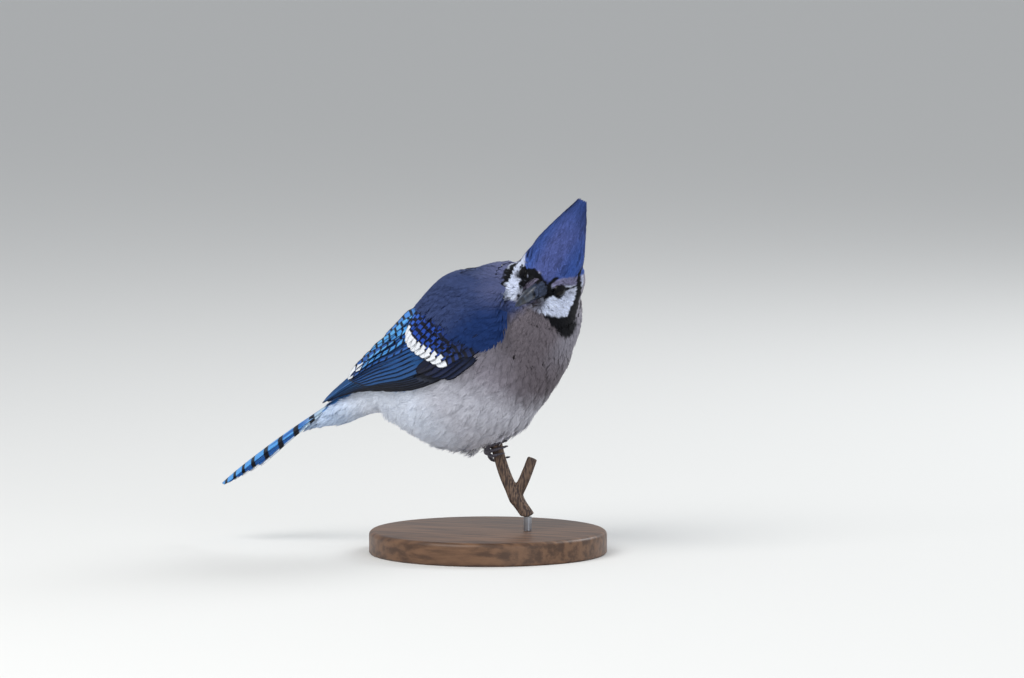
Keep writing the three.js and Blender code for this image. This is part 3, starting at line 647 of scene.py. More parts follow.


# Vanes of the wings and the tail, by their colours and bars, with dark edges that are partly painted shadow
def vaneMaterial(name, look):
    material, tree, shader = newMaterial(name, look["roughness"], 0.22)
    pattern = node(tree, "ShaderNodeGroup", node_tree=vanePattern)
    for socket, key in (("Bar spacing", "spacing"), ("Bar share", "share"), ("Bar slant", "slant"),
                        ("Tip length", "tip"), ("Edge width", "edge")):
        pattern.inputs[socket].default_value = look[key]
    colour = unevenColour(tree, 0.5, meshTone(tree)).outputs["Color"]
    for mask, depth, over in (("Bars", "barDepth", "dark"), ("Edge", "edgeDepth", "dark"),
                              ("Tip", None, "white"), ("Shaft", "shaftDepth", "dark")):
        share = pattern.outputs[mask]
        if depth:
            share = maths(tree, "MULTIPLY", share, look[depth])
        colour = mixColour(tree, share, colour, rgba(look[over]))
    streak = maths(tree, "MULTIPLY_ADD", pattern.outputs["Barbs"], 0.07, 1.0)
    tree.links.new(shaded(tree, colour, streak), shader.inputs["Base Color"])
    bumpInto(tree, shader, pattern.outputs["Barbs"], 0.00006, 0.6)
    return material


print("camera and studio")
placeCamera()
lightStudio()
unevenTone = buildUneven()
vanePattern = buildVanePattern()


# Skin: torso, neck, head, the wings' arms and the crest's core as one surface, drawn in by the coat's depth
skinLook = {
    "voxel": 1.3, "smoothing": 5, "lastSmoothing": 3, "shade": 0.75, "merge": 1e-6, "bodyDepth": 3.4,
    "faceDepth": 1.1, "neckDepth": 2.4, "rearDepth": 0.8,
    "arm": {"along": 27, "angle": 64, "halfLength": 30, "halfAngle": 44, "rise": 2.4, "rim": -3.6,
            "depth": -6},
    "crestHeight": 0.72, "crestInset": 0.6,
}
eyeLook = {
    "radius": 3.7, "forward": 10.1, "out": 9.3, "up": 1.6, "tilt": 14, "seat": 3.3, "bare": 2.9,
    "black": (4, 4, 6), "iris": (15, 11, 11),
}


def wingArm(side):
    arm = skinLook["arm"]

    def place(share, turn):
        outer = share < 0.5
        reach = np.sin(math.pi * share)
        lift = lerp(np.where(outer, arm["rise"], arm["depth"]), arm["rim"], reach**2.4)
        along = arm["along"] + arm["halfLength"] * reach * np.cos(turn)
        angle = arm["angle"] + arm["halfAngle"] * reach * np.sin(turn)
        return onBody(wingStations, along, angle, side, lift)

    return mappedSphere(40, 24, place)


def crestCore():
    def place(share, angle):
        rim = onCrest(share * skinLook["crestHeight"], angle, -skinLook["crestInset"])
        front, back = (onCrest(share * skinLook["crestHeight"], turn, 0) for turn in (0, math.pi))
        full = np.sin(math.pi * np.clip(share, 1e-3, 1 - 1e-3)) ** 0.4
        return (front + back) / 2 + (rim - (front + back) / 2) * full[:, None]

    return mappedSphere(32, 24, place)


# The stump of the tail, which carries its coverts
def tailCore():
    def place(share, angle):
        along = lerp(-50, -90, share)
        full = np.clip(np.sin(math.pi * share), 0, 1) ** 0.4
        top, bottom, half = (column(bodyStations, i, along) for i in (1, 2, 3))
        up = (top + bottom) / 2 + (top - bottom) / 2 * full * np.cos(angle)
        return fromAxis(along, half * full * np.sin(angle), up)

    return mappedSphere(24, 16, place)


def coatDepth(points):
    axisPoints, headPoints = toAxis(points), toHead(points)
    reach = np.linalg.norm(headPoints - np.array((4, 0, 0)), axis=1)
    depth = lerp(skinLook["bodyDepth"], skinLook["rearDepth"], ramp(-30, -62, axisPoints[:, 0]))
    depth = lerp(depth, skinLook["neckDepth"], ramp(45, 30, reach))
    return lerp(depth, skinLook["faceDepth"], ramp(27, 18, reach))


def makeSkin():
    whole = bmesh.new()
    for name in ("torso", "neck", "head", "eye_right", "eye_left"):
        whole.from_mesh(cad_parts[name].data)
    bmesh.ops.remove_doubles(whole, verts=whole.verts, dist=skinLook["merge"])
    for extra in (wingArm(-1), wingArm(1), crestCore(), tailCore()):
        bmesh.ops.scale(extra, vec=Vector((mm, mm, mm)), verts=extra.verts)
        added = bpy.data.meshes.new("scratch")
        extra.to_mesh(added)
        extra.free()
        whole.from_mesh(added)
        bpy.data.meshes.remove(added)
    mesh = bpy.data.meshes.new("skin")
    whole.to_mesh(mesh)
    whole.free()
    piece = placeObject("skin", mesh)
    made = remeshed(piece, skinLook["voxel"])

    # only the outer surface stays, and it is drawn in by the depth of the coat
    keepLargest(made)
    smoothOut(made, skinLook["smoothing"])
    made.normal_update()
    depth = coatDepth(np.array([v.co for v in made.verts]) / mm)
    for v, d in zip(made.verts, depth):
        v.co -= v.normal * float(d) * mm
    smoothOut(made, skinLook["lastSmoothing"])
    seatEyes(made)
    made.to_mesh(mesh)
    made.free()
    mesh.shade_smooth()
    setTone(mesh, plumage(meshPoints(mesh)) * skinLook["shade"])
    mesh.materials.append(plumageMaterial("downySkin", 0.9, 0.85, 0.2))
    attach(piece, "root")
    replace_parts(piece, "torso", "neck", "head")
    return piece


# Across the eye toward its outer corner, up and outward
def eyeAxes(side):
    outward = unit(headLeft * side + headFront * 0.42)
    level = unit(np.cross(headTop, outward)) * side
    upright = unit(headTop - dot(headTop, outward) * outward)
    tilt = math.radians(eyeLook["tilt"])
    across = level * math.cos(tilt) + upright * math.sin(tilt)
    return across, upright * math.cos(tilt) - level * math.sin(tilt), outward


def eyeCentre(side):
    return fromHead(eyeLook["forward"], side * eyeLook["out"], eyeLook["up"])


# How far points are from the axis of the nearer eye, and the direction away from that axis
def fromEyeAxis(points):
    away, apart = None, None
    for side in (-1, 1):
        outward = eyeAxes(side)[2]
        offset = points - eyeCentre(side)
        depth = dot(offset, outward)
        across = offset - depth * outward
        distance = np.where(depth[:, 0] > -1, np.linalg.norm(across, axis=1), 99.0)
        closer = np.full(len(points), True) if apart is None else distance < apart
        away = across if away is None else np.where(closer[:, None], across, away)
        apart = distance if apart is None else np.where(closer, distance, apart)
    return apart, unit(away)


# The skin under an eye lies just inside its globe
def seatEyes(made):
    for side in (-1, 1):
        centre, outward = eyeCentre(side), eyeAxes(side)[2]
        for v in made.verts:
            offset = np.array(v.co) / mm - centre
            depth = offset @ outward
            apart = np.linalg.norm(offset - depth * outward)
            if depth < 0 or apart > eyeLook["seat"]:
                continue
            most = math.sqrt(max(eyeLook["radius"] ** 2 - apart**2, 0.2)) - 0.35
            if depth > most:
                v.co += Vector(outward * (most - depth) * mm)


def keepLargest(made):
    made.verts.ensure_lookup_table()
    seen, groups = set(), []
    for start in made.verts:
        if start in seen:
            continue
        group, stack = [], [start]
        seen.add(start)
        while stack:
            v = stack.pop()
            group.append(v)
            for edge in v.link_edges:
                other = edge.other_vert(v)
                if other not in seen:
                    seen.add(other)
                    stack.append(other)
        groups.append(group)
    groups.sort(key=len)
    loose = [v for group in groups[:-1] for v in group]
    bmesh.ops.delete(made, geom=loose, context="VERTS")


print("skin")
skin = makeSkin()
skinPoints, skinNormals = meshPoints(skin.data), meshNormals(skin.data)
skin.data.calc_loop_triangles()
skinFaces = np.zeros(len(skin.data.loop_triangles) * 3, np.int32)
skin.data.loop_triangles.foreach_get("vertices", skinFaces)
skinFaces = skinFaces.reshape(-1, 3)
skinTree = BVHTree.FromPolygons([Vector(p) for p in skinPoints], skinFaces.tolist())
print("skin", len(skinFaces), "triangles")


# Roots of the coat: spread evenly over the skin, closer together on the head. Rows of roots lie "packing"
# of the spacing apart; a piece has at most "pieceMost" triangles.
coatLook = {"bodySpacing": 1.72, "faceSpacing": 0.98, "draws": 4, "packing": 0.87, "pieceMost": 190000}


def spacingAt(points):
    reach = np.linalg.norm(toHead(points) - np.array((6, 0, 0)), axis=1)
    return lerp(coatLook["bodySpacing"], coatLook["faceSpacing"], ramp(44, 20, reach))


def scatterRoots():
    corners = skinPoints[skinFaces]
    sides = corners[:, 1:] - corners[:, :1]
    area = np.linalg.norm(np.cross(sides[:, 0], sides[:, 1]), axis=1) / 2
    weight = area / spacingAt(corners.mean(1)) ** 2
    count = int(coatLook["draws"] * weight.sum() / coatLook["packing"])
    chosen = draw.choice(len(area), count, p=weight / weight.sum())
    a, b = np.sqrt(draw.random(count))[:, None], draw.random(count)[:, None]
    shares = np.stack((1 - a, a * (1 - b), a * b), 1)
    points = (corners[chosen] * shares).sum(1)
    normals = unit((skinNormals[skinFaces[chosen]] * shares).sum(1))
    spacing = spacingAt(points)
    tree = KDTree(count)
    for i, point in enumerate(points):
        tree.insert(point, i)
    tree.balance()
    gone, kept = np.zeros(count, bool), []
    for i in range(count):
        if gone[i]:
            continue
        kept.append(i)
        for _, j, _ in tree.find_range(points[i], spacing[i]):
            gone[j] = True
    return points[kept], normals[kept]


# The lie of the coat: away from the bill on the head, down the neck, and back along the body
def lieOf(points, normals):
    headPoints = toHead(points)
    reach = np.linalg.norm(headPoints, axis=1)
    fromBill = unit(points - fromHead(21, 0, -1))
    fromNeck = unit(points - fromHead(8, 0, 6))
    rearward = np.broadcast_to(-axisAxes[0] - 0.12 * axisAxes[2], points.shape)
    onBodyShare = ramp(34, 62, reach)[:, None]
    lie = lerp(fromNeck, rearward, onBodyShare)
    lie = lerp(lie, fromBill, ramp(26, 16, reach)[:, None])
    apart, away = fromEyeAxis(points)
    toward = np.minimum(dot(unit(lie), away), 0)
    lie = unit(lie) - away * toward * (1.3 * ramp(8.5, 4.5, apart))[:, None]
    lie = lie - dot(lie, normals) * normals
    return unit(lie)


# Barbs of a loose feather in its own measure: 1 long, its outline about a third of that wide
barbLook = {
    "end": 0.93, "angles": (46, 5), "shorter": 0.42, "half": 0.62, "bend": 0.22, "lift": 0.03,
    "whole": 1.14, "variants": 6, "seed": 40,
}


def looseFeather(barbs, start, spread, seed):
    look, pick = barbLook, np.random.default_rng(seed)
    points, faces, shade = [], [], []
    for side in (-1, 1):
        for i in range(barbs):
            s = (i + 0.5 + 0.3 * pick.standard_normal()) / barbs
            root = start + (look["end"] - start) * s
            angle = math.radians(lerp(*look["angles"], max(s, 0) ** 1.3) + 4 * pick.standard_normal())
            length = spread * (1 - look["shorter"] * s) * pick.uniform(0.8, 1.2)
            half = look["half"] * (look["end"] - start) / barbs
            bend = look["bend"] * length
            middle = (root + 0.55 * length * math.cos(angle) + 0.05 * bend,
                      side * (0.55 * length * math.sin(angle) + 0.3 * bend * math.cos(angle)))
            tip = (root + length * math.cos(angle) + bend * 0.3, side * length * math.sin(angle) * 0.96)
            lift = look["lift"] * pick.standard_normal()
            base = len(points)
            points += [
                (root - half, 0, 0),
                (root + half, 0, 0),
                (middle[0] + half * 0.8, middle[1] - side * half * 0.5, lift * 0.4),
                (middle[0] - half * 0.8, middle[1] + side * half * 0.5, lift * 0.4),
                (*tip, lift),
            ]
            order = (0, 1, 2, 3, 4) if side > 0 else (1, 0, 3, 2, 4)
            a, b, c, d, e = (base + k for k in order)
            faces += [(a, b, c), (a, c, d), (d, c, e)]
            shade += [pick.uniform(0.8, 1.2)] * 5
    return np.array(points), np.array(faces), np.array(shade)


# Joined feathers from their roots over a curve to their tips. The tone is one colour for each feather, or a
# function that colours each point at its own place.
def joinFeathers(name, curves, look, material, tone):
    base, control, tips, normals, tipNormals = curves
    count = len(base)
    length = np.linalg.norm(tips - base, axis=1)
    variants = [looseFeather(look["barbs"], look["start"], look["spread"], barbLook["seed"] + k)
                for k in range(barbLook["variants"])]
    which = draw.integers(0, len(variants), count)
    template = np.stack([v[0] for v in variants])[which]
    shade = np.stack([v[2] for v in variants])[which]
    x = np.minimum(template[:, :, 0:1] / barbLook["whole"], 1.1)
    y = template[:, :, 1:2] * (length * look["wide"])[:, None, None]
    z = template[:, :, 2:3] * (length * look["loose"])[:, None, None]
    spine = (1 - x) ** 2 * base[:, None] + 2 * x * (1 - x) * control[:, None] + x**2 * tips[:, None]
    across = unit(np.cross(unit(normals + tipNormals), unit(tips - base)))[:, None]
    upward = unit(lerp(normals[:, None], tipNormals[:, None], x))
    cup = look["cup"] * (y / (0.36 * length[:, None, None])) ** 2
    points = spine + across * y + upward * (z - cup)

    mottle = 1 + look["mottle"] * draw.standard_normal(count)
    # painted shade: each feather is darker toward its root, which lies under the feathers before it
    fade = look["rootShade"] + (1 - look["rootShade"]) * np.clip(x * 1.25, 0, 1)
    shade = 1 + (shade - 1) * look["streaks"]
    if callable(tone):
        shown = lerp(lerp(base, tips, 0.6)[:, None], points, look["crisp"])
        tone = tone(shown.reshape(-1, 3)).reshape(points.shape)
    else:
        tone = tone[:, None]
    tone = np.clip(tone * (mottle[:, None] * shade)[:, :, None] * fade, 0.0005, 1)
    faces = variants[0][1][None] + (np.arange(count) * template.shape[1])[:, None, None]
    piece = addPiece(name, points.reshape(-1, 3), faces.reshape(-1, 3), material)
    softenNormals(piece.data, np.broadcast_to(upward, points.shape).reshape(-1, 3), look["soft"])
    setTone(piece.data, tone.reshape(-1, 3))
    local = np.concatenate((template[:, :, 1:2] + 0.5, template[:, :, 0:1]), 2)
    setMap(piece.data, "OFBake", (skinUnwrap(base)[:, None] + 0.003 * (local - 0.5)).reshape(-1, 2))
    print(name, count, "feathers,", faces.size // 3, "triangles")
    return piece


# Feathers rooted on the skin. Each reaches to a point over the skin ahead of it, or keeps its own line.
def growFeathers(name, roots, normals, look, material, tone=None, lie=None, shorter=None, taller=1):
    count = len(roots)
    lie = lieOf(roots, normals) if lie is None else lie
    side = unit(np.cross(normals, lie))
    lie = unit(lie + side * (look["wander"] * draw.standard_normal(count))[:, None])
    length = look["length"] * draw.uniform(0.85, 1.15, count) * (1 if shorter is None else shorter)
    height = look["height"] * draw.uniform(0.85, 1.15, count) * taller
    tips, tipNormals = np.empty((count, 3)), np.empty((count, 3))
    for i in range(count):
        near, normal, _, _ = skinTree.find_nearest(Vector(roots[i] + lie[i] * length[i]))
        tips[i], tipNormals[i] = near, normal
    if "free" in look:
        tips = lerp(tips, roots + lie * length[:, None], look["free"])
        tipNormals = unit(lerp(tipNormals, normals, look["free"]))
    tips = tips + tipNormals * height[:, None]
    if "droop" in look:
        tips[:, 2] -= look["droop"] * draw.random(count)
    control = roots + lie * (length * 0.42)[:, None] + normals * (look["rise"] * height)[:, None]
    curves = (roots, control, tips, normals, tipNormals)
    joinFeathers(name, curves, look, material, plumage if tone is None else tone)


# The skin's unwrap: the body rolled out round its axis, and the head and crest rolled out round theirs
def skinUnwrap(points):
    axisPoints, headPoints = toAxis(points), toHead(points)
    top, bottom = (column(bodyStations, k, axisPoints[:, 0]) for k in (1, 2))
    bodyTurn = np.arctan2(axisPoints[:, 1], axisPoints[:, 2] - (top + bottom) / 2) / (2 * math.pi) + 0.5
    body = np.stack((0.01 + 0.98 * bodyTurn, 0.01 + 0.56 * (axisPoints[:, 0] + 90) / 190), 1)
    headTurn = np.arctan2(headPoints[:, 1], headPoints[:, 0]) / (2 * math.pi) + 0.5
    head = np.stack((0.01 + 0.98 * headTurn, 0.61 + 0.37 * (headPoints[:, 2] + 30) / 80), 1)
    onHead = np.linalg.norm(headPoints * np.array((1, 1, 0.6)), axis=1) < 27
    return np.clip(np.where(onHead[:, None], head, body), 0.003, 0.997)


# Lengths and heights are in mm. The others are shares: how a feather rises, strays, spreads, cups and is
# mottled, how dark the painted shade at its root is, and how far its shading follows the body.
featherBase = {
    "wide": 1.0, "crisp": 0.5, "soft": 0.75, "streaks": 1.0, "start": 0.3, "spread": 0.34, "barbs": 18,
    "cup": 0.5, "loose": 0.5, "mottle": 0.02, "rise": 1.2,
}
featherLooks = {
    "backFeathers": {
        "length": 14, "height": 3.2, "rise": 1.35, "wander": 0.04, "start": 0.34, "loose": 0.3, "cup": 0.7,
        "rootShade": 0.97, "streaks": 0.5, "soft": 0.85},
    "breastFeathers": {
        "length": 15, "height": 3.3, "rise": 1.3, "wander": 0.08, "start": 0.32, "cup": 0.25,
        "rootShade": 0.98, "streaks": 0.5, "soft": 0.94},
    "bellyFeathers": {
        "length": 16, "height": 3.8, "rise": 1.1, "wander": 0.12, "spread": 0.36, "loose": 0.9, "cup": 0.2,
        "rootShade": 0.98, "streaks": 0.45, "free": 0.3, "droop": 2.0, "soft": 0.95},
    "rumpFeathers": {
        "length": 13, "height": 1.6, "wander": 0.06, "barbs": 15, "spread": 0.32, "mottle": 0.03,
        "rootShade": 0.94, "streaks": 0.6},
    "tailCoverts": {
        "length": 13, "height": 0.5, "rise": 1.0, "wander": 0.03, "start": 0.2, "spread": 0.2, "loose": 0.3,
        "cup": 0.4, "mottle": 0.03, "rootShade": 0.97, "streaks": 0.6, "free": 0.3},
    "neckFeathers": {
        "length": 9.5, "height": 2.4, "wander": 0.06, "barbs": 13, "mottle": 0.03, "rootShade": 0.95,
        "streaks": 0.8, "crisp": 0.85},
    "headFeathers": {
        "length": 5.4, "height": 0.95, "rise": 1.1, "wander": 0.07, "barbs": 8, "start": 0.25, "loose": 0.4,
        "cup": 0.3, "mottle": 0.07, "rootShade": 0.9, "streaks": 1.5, "crisp": 0.85},
}


# Which roots go into which piece
def sortRoots(points, normals):
    axisPoints, headPoints = toAxis(points), toHead(points)
    along, angle = axisPoints[:, 0], backAngle(axisPoints)
    reach = np.linalg.norm(headPoints - np.array((4, 0, 0)), axis=1)
    region = np.full(len(points), "breastFeathers", dtype=object)
    region[angle < 93] = "backFeathers"
    region[(angle >= 93) & (along < 30)] = "bellyFeathers"
    region[(along < -30) & ((angle >= 50) | (along < -46))] = "rumpFeathers"
    region[along < -60] = "tailCoverts"
    region[reach < 38] = "neckFeathers"
    region[reach < 23] = "headFeathers"
    ahead, out, high = headPoints[:, 0], np.abs(headPoints[:, 1]), headPoints[:, 2]
    underBill = (ahead > 14.0) & (out < 4.4) & (np.abs(high + 1) < 4.2)
    lowest = np.interp(along, (-50, -20, 0, 20, 46), (44, 66, 78, 84, 84))
    underWing = (angle > 30) & (angle < lowest) & (along < 46) & (along > -50) & (reach > 36)
    stump = (along < -70) & (dot(normals, -axisAxes[0][None])[:, 0] > 0.5)
    region[(fromEyeAxis(points)[0] < eyeLook["bare"]) | underBill | underWing | (along < -86) | stump] = ""
    return region


# The nape's feathers fill the hollow behind the raised crest
def napeRise(points):
    forward, left, rise = toHead(points).T
    return 1.3 * ramp(3, -5, forward) * ramp(-2, 6, rise) * ramp(13, 7, left)


print("coat")
roots, rootNormals = scatterRoots()
region = sortRoots(roots, rootNormals)
print(len(roots), "roots")
softPlumage = plumageMaterial("softPlumage", 0.3, 0.8, 0.06)
for name, look in featherLooks.items():
    look = {**featherBase, **look}
    chosen = np.flatnonzero(region == name)
    onHead = name in ("neckFeathers", "headFeathers")
    most = int(coatLook["pieceMost"] / (look["barbs"] * 6))
    order = chosen[np.argsort(toAxis(roots[chosen])[:, 1])]
    parts = np.array_split(order, max(1, math.ceil(len(chosen) / most)))
    for k, part in enumerate(parts):
        places, word = roots[part], "" if len(parts) == 1 else str(k + 1)
        shorter = lerp(0.3, 1, ramp(2.6, 8.0, fromEyeAxis(places)[0])) if name == "headFeathers" else None
        taller = 1 + napeRise(places) if onHead else 1
        growFeathers(name + word, places, rootNormals[part], look, softPlumage, shorter=shorter,
                     taller=taller)


# The mantle's long soft feathers hang over the folded wing, down to the barred coverts
mantleLook = {
    **featherBase, "spacing": 1.9, "front": 50, "length": 13, "lifts": (0.4, 4.9), "rise": 0.9,
    "start": 0.34, "loose": 0.2, "cup": 0.7, "rootShade": 0.97, "streaks": 0.5, "soft": 0.85, "girth": 38,
    "hem": ((14, 39, 50, 60, 70, 79, 86, 96), (4, 7.6, 12, 17, 20.5, 22.5, 26, 33)),
    "seatReach": (15, 2), "ridge": (62, 46), "seats": (-0.8, 1.3, 2.0),
}


def wingLift(along, angle):
    over = lerp(mantleLook["lifts"][1], mantleLook["lifts"][0], ramp(34, 54, along))
    return -0.6 + over * ramp(10, 46, angle)


# The foremost feathers of the mantle are seated in the skin, so that they rise out of the coat
def seatMantle(points, lift, share):
    seated = []
    for point in points:
        near, normal, _, _ = skinTree.find_nearest(Vector(point))
        seated.append(near + normal * lift)
    return lerp(points, np.array(seated), share[:, None])


def growMantle(side, word):
    starts, ends, fromFront = [], [], []
    for degrees in np.arange(14, 98, mantleLook["spacing"] / mantleLook["girth"] * 180 / math.pi):
        hem = np.interp(degrees, *mantleLook["hem"])
        front = mantleLook["front"] - 0.3 * max(degrees - 66, 0) - 11 * ramp(54, 30, degrees)
        rows = np.arange(hem, front, mantleLook["spacing"] * coatLook["packing"])
        rows = rows + draw.uniform(-0.9, 0.9, len(rows))
        fromFront.append(front - rows)
        around = degrees + draw.uniform(-1.8, 1.8, len(rows))
        ends.append(np.stack((rows, around), 1))
        reach = mantleLook["length"] * draw.uniform(0.9, 1.1, len(rows))
        starts.append(np.stack((rows + reach, around - 2.5), 1))
    starts, ends = np.concatenate(starts), np.concatenate(ends)

    def over(places, lift):
        return onBody(wingStations, places[:, 0], places[:, 1], side, lift)

    def outward(places):
        return unit(over(places, 6.0) - over(places, 0.0))

    rise = mantleLook["rise"] * draw.uniform(0.7, 1.2, len(ends))
    base = over(starts, wingLift(*starts.T) - 2.6)
    tips = over(ends, wingLift(*ends.T) + rise)
    middle = (starts + ends) / 2
    control = over(middle, wingLift(*middle.T) + 1.3 * rise)
    fromFront, seats = np.concatenate(fromFront), mantleLook["seats"]
    seat = ramp(*mantleLook["seatReach"], fromFront) * ramp(*mantleLook["ridge"], ends[:, 1])
    base = seatMantle(base, seats[0], np.maximum(seat, ramp(5, 0, fromFront)))
    control = seatMantle(control, seats[1], 0.85 * seat)
    tips = seatMantle(tips, seats[2], 0.6 * seat)
    shown = lerp(base, tips, 0.75)
    axisPoints = toAxis(shown)
    tone = blueBack(axisPoints, backAngle(axisPoints))
    joinFeathers("mantleFeathers" + word, (base, control, tips, outward(starts), outward(ends)), mantleLook,
                 softPlumage, tone)


print("mantle")
growMantle(-1, "Right")
growMantle(1, "Left")


# The raised crest: long narrow feathers on rings round its core, one ring over the next
crestLook = {
    **featherBase, "rings": 30, "from": 0.02, "to": 0.8, "spacing": 1.7, "length": 11, "tipLength": 13,
    "barbs": 14, "start": 0.2, "spread": 0.24, "mottle": 0.13, "rootShade": 0.9, "crisp": 0.8, "whole": 46,
}


def growCrest():
    starts, middles, ends, outward, tipward = [], [], [], [], []
    for share in np.linspace(crestLook["from"], crestLook["to"], crestLook["rings"]):
        girth = math.pi * (column(crestStations, 3, share) + column(crestStations, 4, share))
        count = max(int(girth / crestLook["spacing"]), 5)
        turns = (np.arange(count) + draw.random() + 0.25 * draw.standard_normal(count)) / count
        angle = turns * 2 * math.pi
        at = share + 0.012 * draw.standard_normal(count)
        reach = lerp(crestLook["length"], crestLook["tipLength"], share) / crestLook["whole"]
        reach = reach * draw.uniform(0.85, 1.1, count)
        to = np.minimum(at + reach, 0.98 + 0.05 * draw.random(count))
        loose = 0.1 + 0.3 * ramp(0.1, 0.4, at) + 1.2 * draw.random(count) * ramp(0.0, -0.8, np.cos(angle))
        low = ramp(0.25, 0.0, at)
        starts.append(onCrest(at, angle, -2.0 * (1 - share) - 2.4 * low))
        middles.append(onCrest((at + to) / 2, angle, 0.4 - 1.9 * low))
        ends.append(onCrest(to, angle, (loose - 0.8 * low) * ramp(1.02, 0.8, to)))
        outward.append(unit(onCrest(at, angle, 2) - onCrest(at, angle, 0)))
        tipward.append(unit(onCrest(to, angle, 2) - onCrest(to, angle, 0)))
    curves = [np.concatenate(part) for part in (starts, middles, ends, outward, tipward)]
    piece = joinFeathers("crestFeathers", curves, crestLook, softPlumage, plumage)
    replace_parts(piece, "crest")


print("crest")
growCrest()


# Flight feathers: closed vanes with a shaft, along a line on the guide surface
vaneGrid = {"rows": 26, "columns": 9, "thickness": 0.3, "shaft": 0.22}


def vaneOutline(u, kind):
    base = 0.55 + 0.45 * ramp(0, 0.35, u)
    blunt = {"flight": 0.86, "covert": 0.72, "tail": 0.9, "tertial": 0.84}[kind]
    end = np.sqrt(np.clip(1 - ((u - blunt) / (1.0001 - blunt)) ** 2, 0, 1))
    taper = 1 - (0.3 * ramp(0.45, 1, u) if kind == "flight" else 0)
    return base * taper * np.where(u > blunt, np.maximum(end, 0.04), 1)


# frameAt gives for each share of the length the middle point, the direction across and the normal
def vaneRings(frameAt, half, length, kind, camber, lean=0.0, shift=0.0, shear=0.0, bars=None):
    rows, columns = vaneGrid["rows"], vaneGrid["columns"]
    u = np.linspace(0, 1, rows) ** 0.85
    centre, across, normal = frameAt(u)
    v = np.linspace(-1, 1, columns)
    width = half * vaneOutline(u, kind)
    ragged = 1 + 0.035 * np.sin(u * 61 + draw.random() * 6) * np.sin(u * 23 + draw.random() * 6)
    offset = (v[None] + lean * (1 - v[None] ** 2)) * (width * ragged)[:, None]
    rise = -camber * (width / half)[:, None] * v[None] ** 2
    thick = vaneGrid["thickness"] * (1 - 0.75 * v[None] ** 2) * (1 - 0.5 * u[:, None])
    shaft = vaneGrid["shaft"] * np.exp(-((v[None] / 0.12) ** 2)) * (1 - 0.8 * u[:, None])
    upper = rise + thick / 2 + shaft
    lower = rise - thick / 2
    side = across[:, None] * offset[:, :, None]
    top = centre[:, None] + side + normal[:, None] * upper[:, :, None]
    under = centre[:, None] + side + normal[:, None] * lower[:, :, None]
    ring = np.concatenate((top, under[:, ::-1][:, 1:-1]), 1)
    acrossMap = np.concatenate((offset, offset[:, ::-1][:, 1:-1]), 1)
    fromTip = np.repeat(((1 - u) * length)[:, None], ring.shape[1], 1)
    share = np.concatenate((np.broadcast_to(v, (rows, columns)) * 0.24 + 0.25,
                            0.75 - np.broadcast_to(v[::-1][1:-1], (rows, columns - 2)) * 0.24), 1)
    rim = width[:, None] * (1 - np.abs(v[None]))
    rim = np.concatenate((rim, rim[:, ::-1][:, 1:-1]), 1)
    lengthwise = np.repeat(u[:, None], ring.shape[1], 1)
    barred = fromTip + shift if bars is None else bars(fromTip + shear * acrossMap)
    return (ring.reshape(-1, 3), np.stack((acrossMap, fromTip + shift), 2).reshape(-1, 2),
            np.stack((share, lengthwise), 2).reshape(-1, 2), np.stack((rim, barred), 2).reshape(-1, 2))


def vaneFaces():
    rows, around = vaneGrid["rows"], vaneGrid["columns"] * 2 - 2
    i, j = np.meshgrid(np.arange(rows - 1), np.arange(around), indexing="ij")
    a, b = i * around + j, i * around + (j + 1) % around
    c, d = b + around, a + around
    faces = np.concatenate((np.stack((a, d, c), 2).reshape(-1, 3), np.stack((a, c, b), 2).reshape(-1, 3)))
    ends = []
    for row in (0, rows - 1):
        ring = row * around + np.arange(around)
        for k in range(1, vaneGrid["columns"] - 1):
            left, right = ring[k - 1], ring[k]
            lowLeft, lowRight = ring[(around - k + 1) % around], ring[around - k]
            pair = [(left, right, lowRight), (left, lowRight, lowLeft)][:min(k, 2)]
            ends += pair if row == 0 else [(p, r, q) for p, q, r in pair]
        last = vaneGrid["columns"] - 1
        closing = (ring[last - 1], ring[last], ring[last + 1])
        ends.append(closing if row == 0 else (closing[0], closing[2], closing[1]))
    return np.concatenate((faces, np.array(ends)))


def vanePiece(name, feathers, material):
    faces = vaneFaces()
    points = np.concatenate([f["rings"][0] for f in feathers])
    perFeather = len(feathers[0]["rings"][0])
    allFaces = faces[None] + (np.arange(len(feathers)) * perFeather)[:, None, None]
    piece = addPiece(name, points, allFaces.reshape(-1, 3), material)
    setTone(piece.data, np.concatenate([f["tone"] for f in feathers]))
    setMap(piece.data, "vane", np.concatenate([f["rings"][1] for f in feathers]))
    setMap(piece.data, "rim", np.concatenate([f["rings"][3] for f in feathers]))
    across = math.ceil(math.sqrt(len(feathers) * 3))
    down = math.ceil(len(feathers) / across)
    cells = []
    for k, f in enumerate(feathers):
        corner = np.array((k % across, k // across), float)
        cells.append((corner + 0.04 + 0.92 * f["rings"][2]) / (across, down))
    setMap(piece.data, "OFBake", np.concatenate(cells))
    return piece


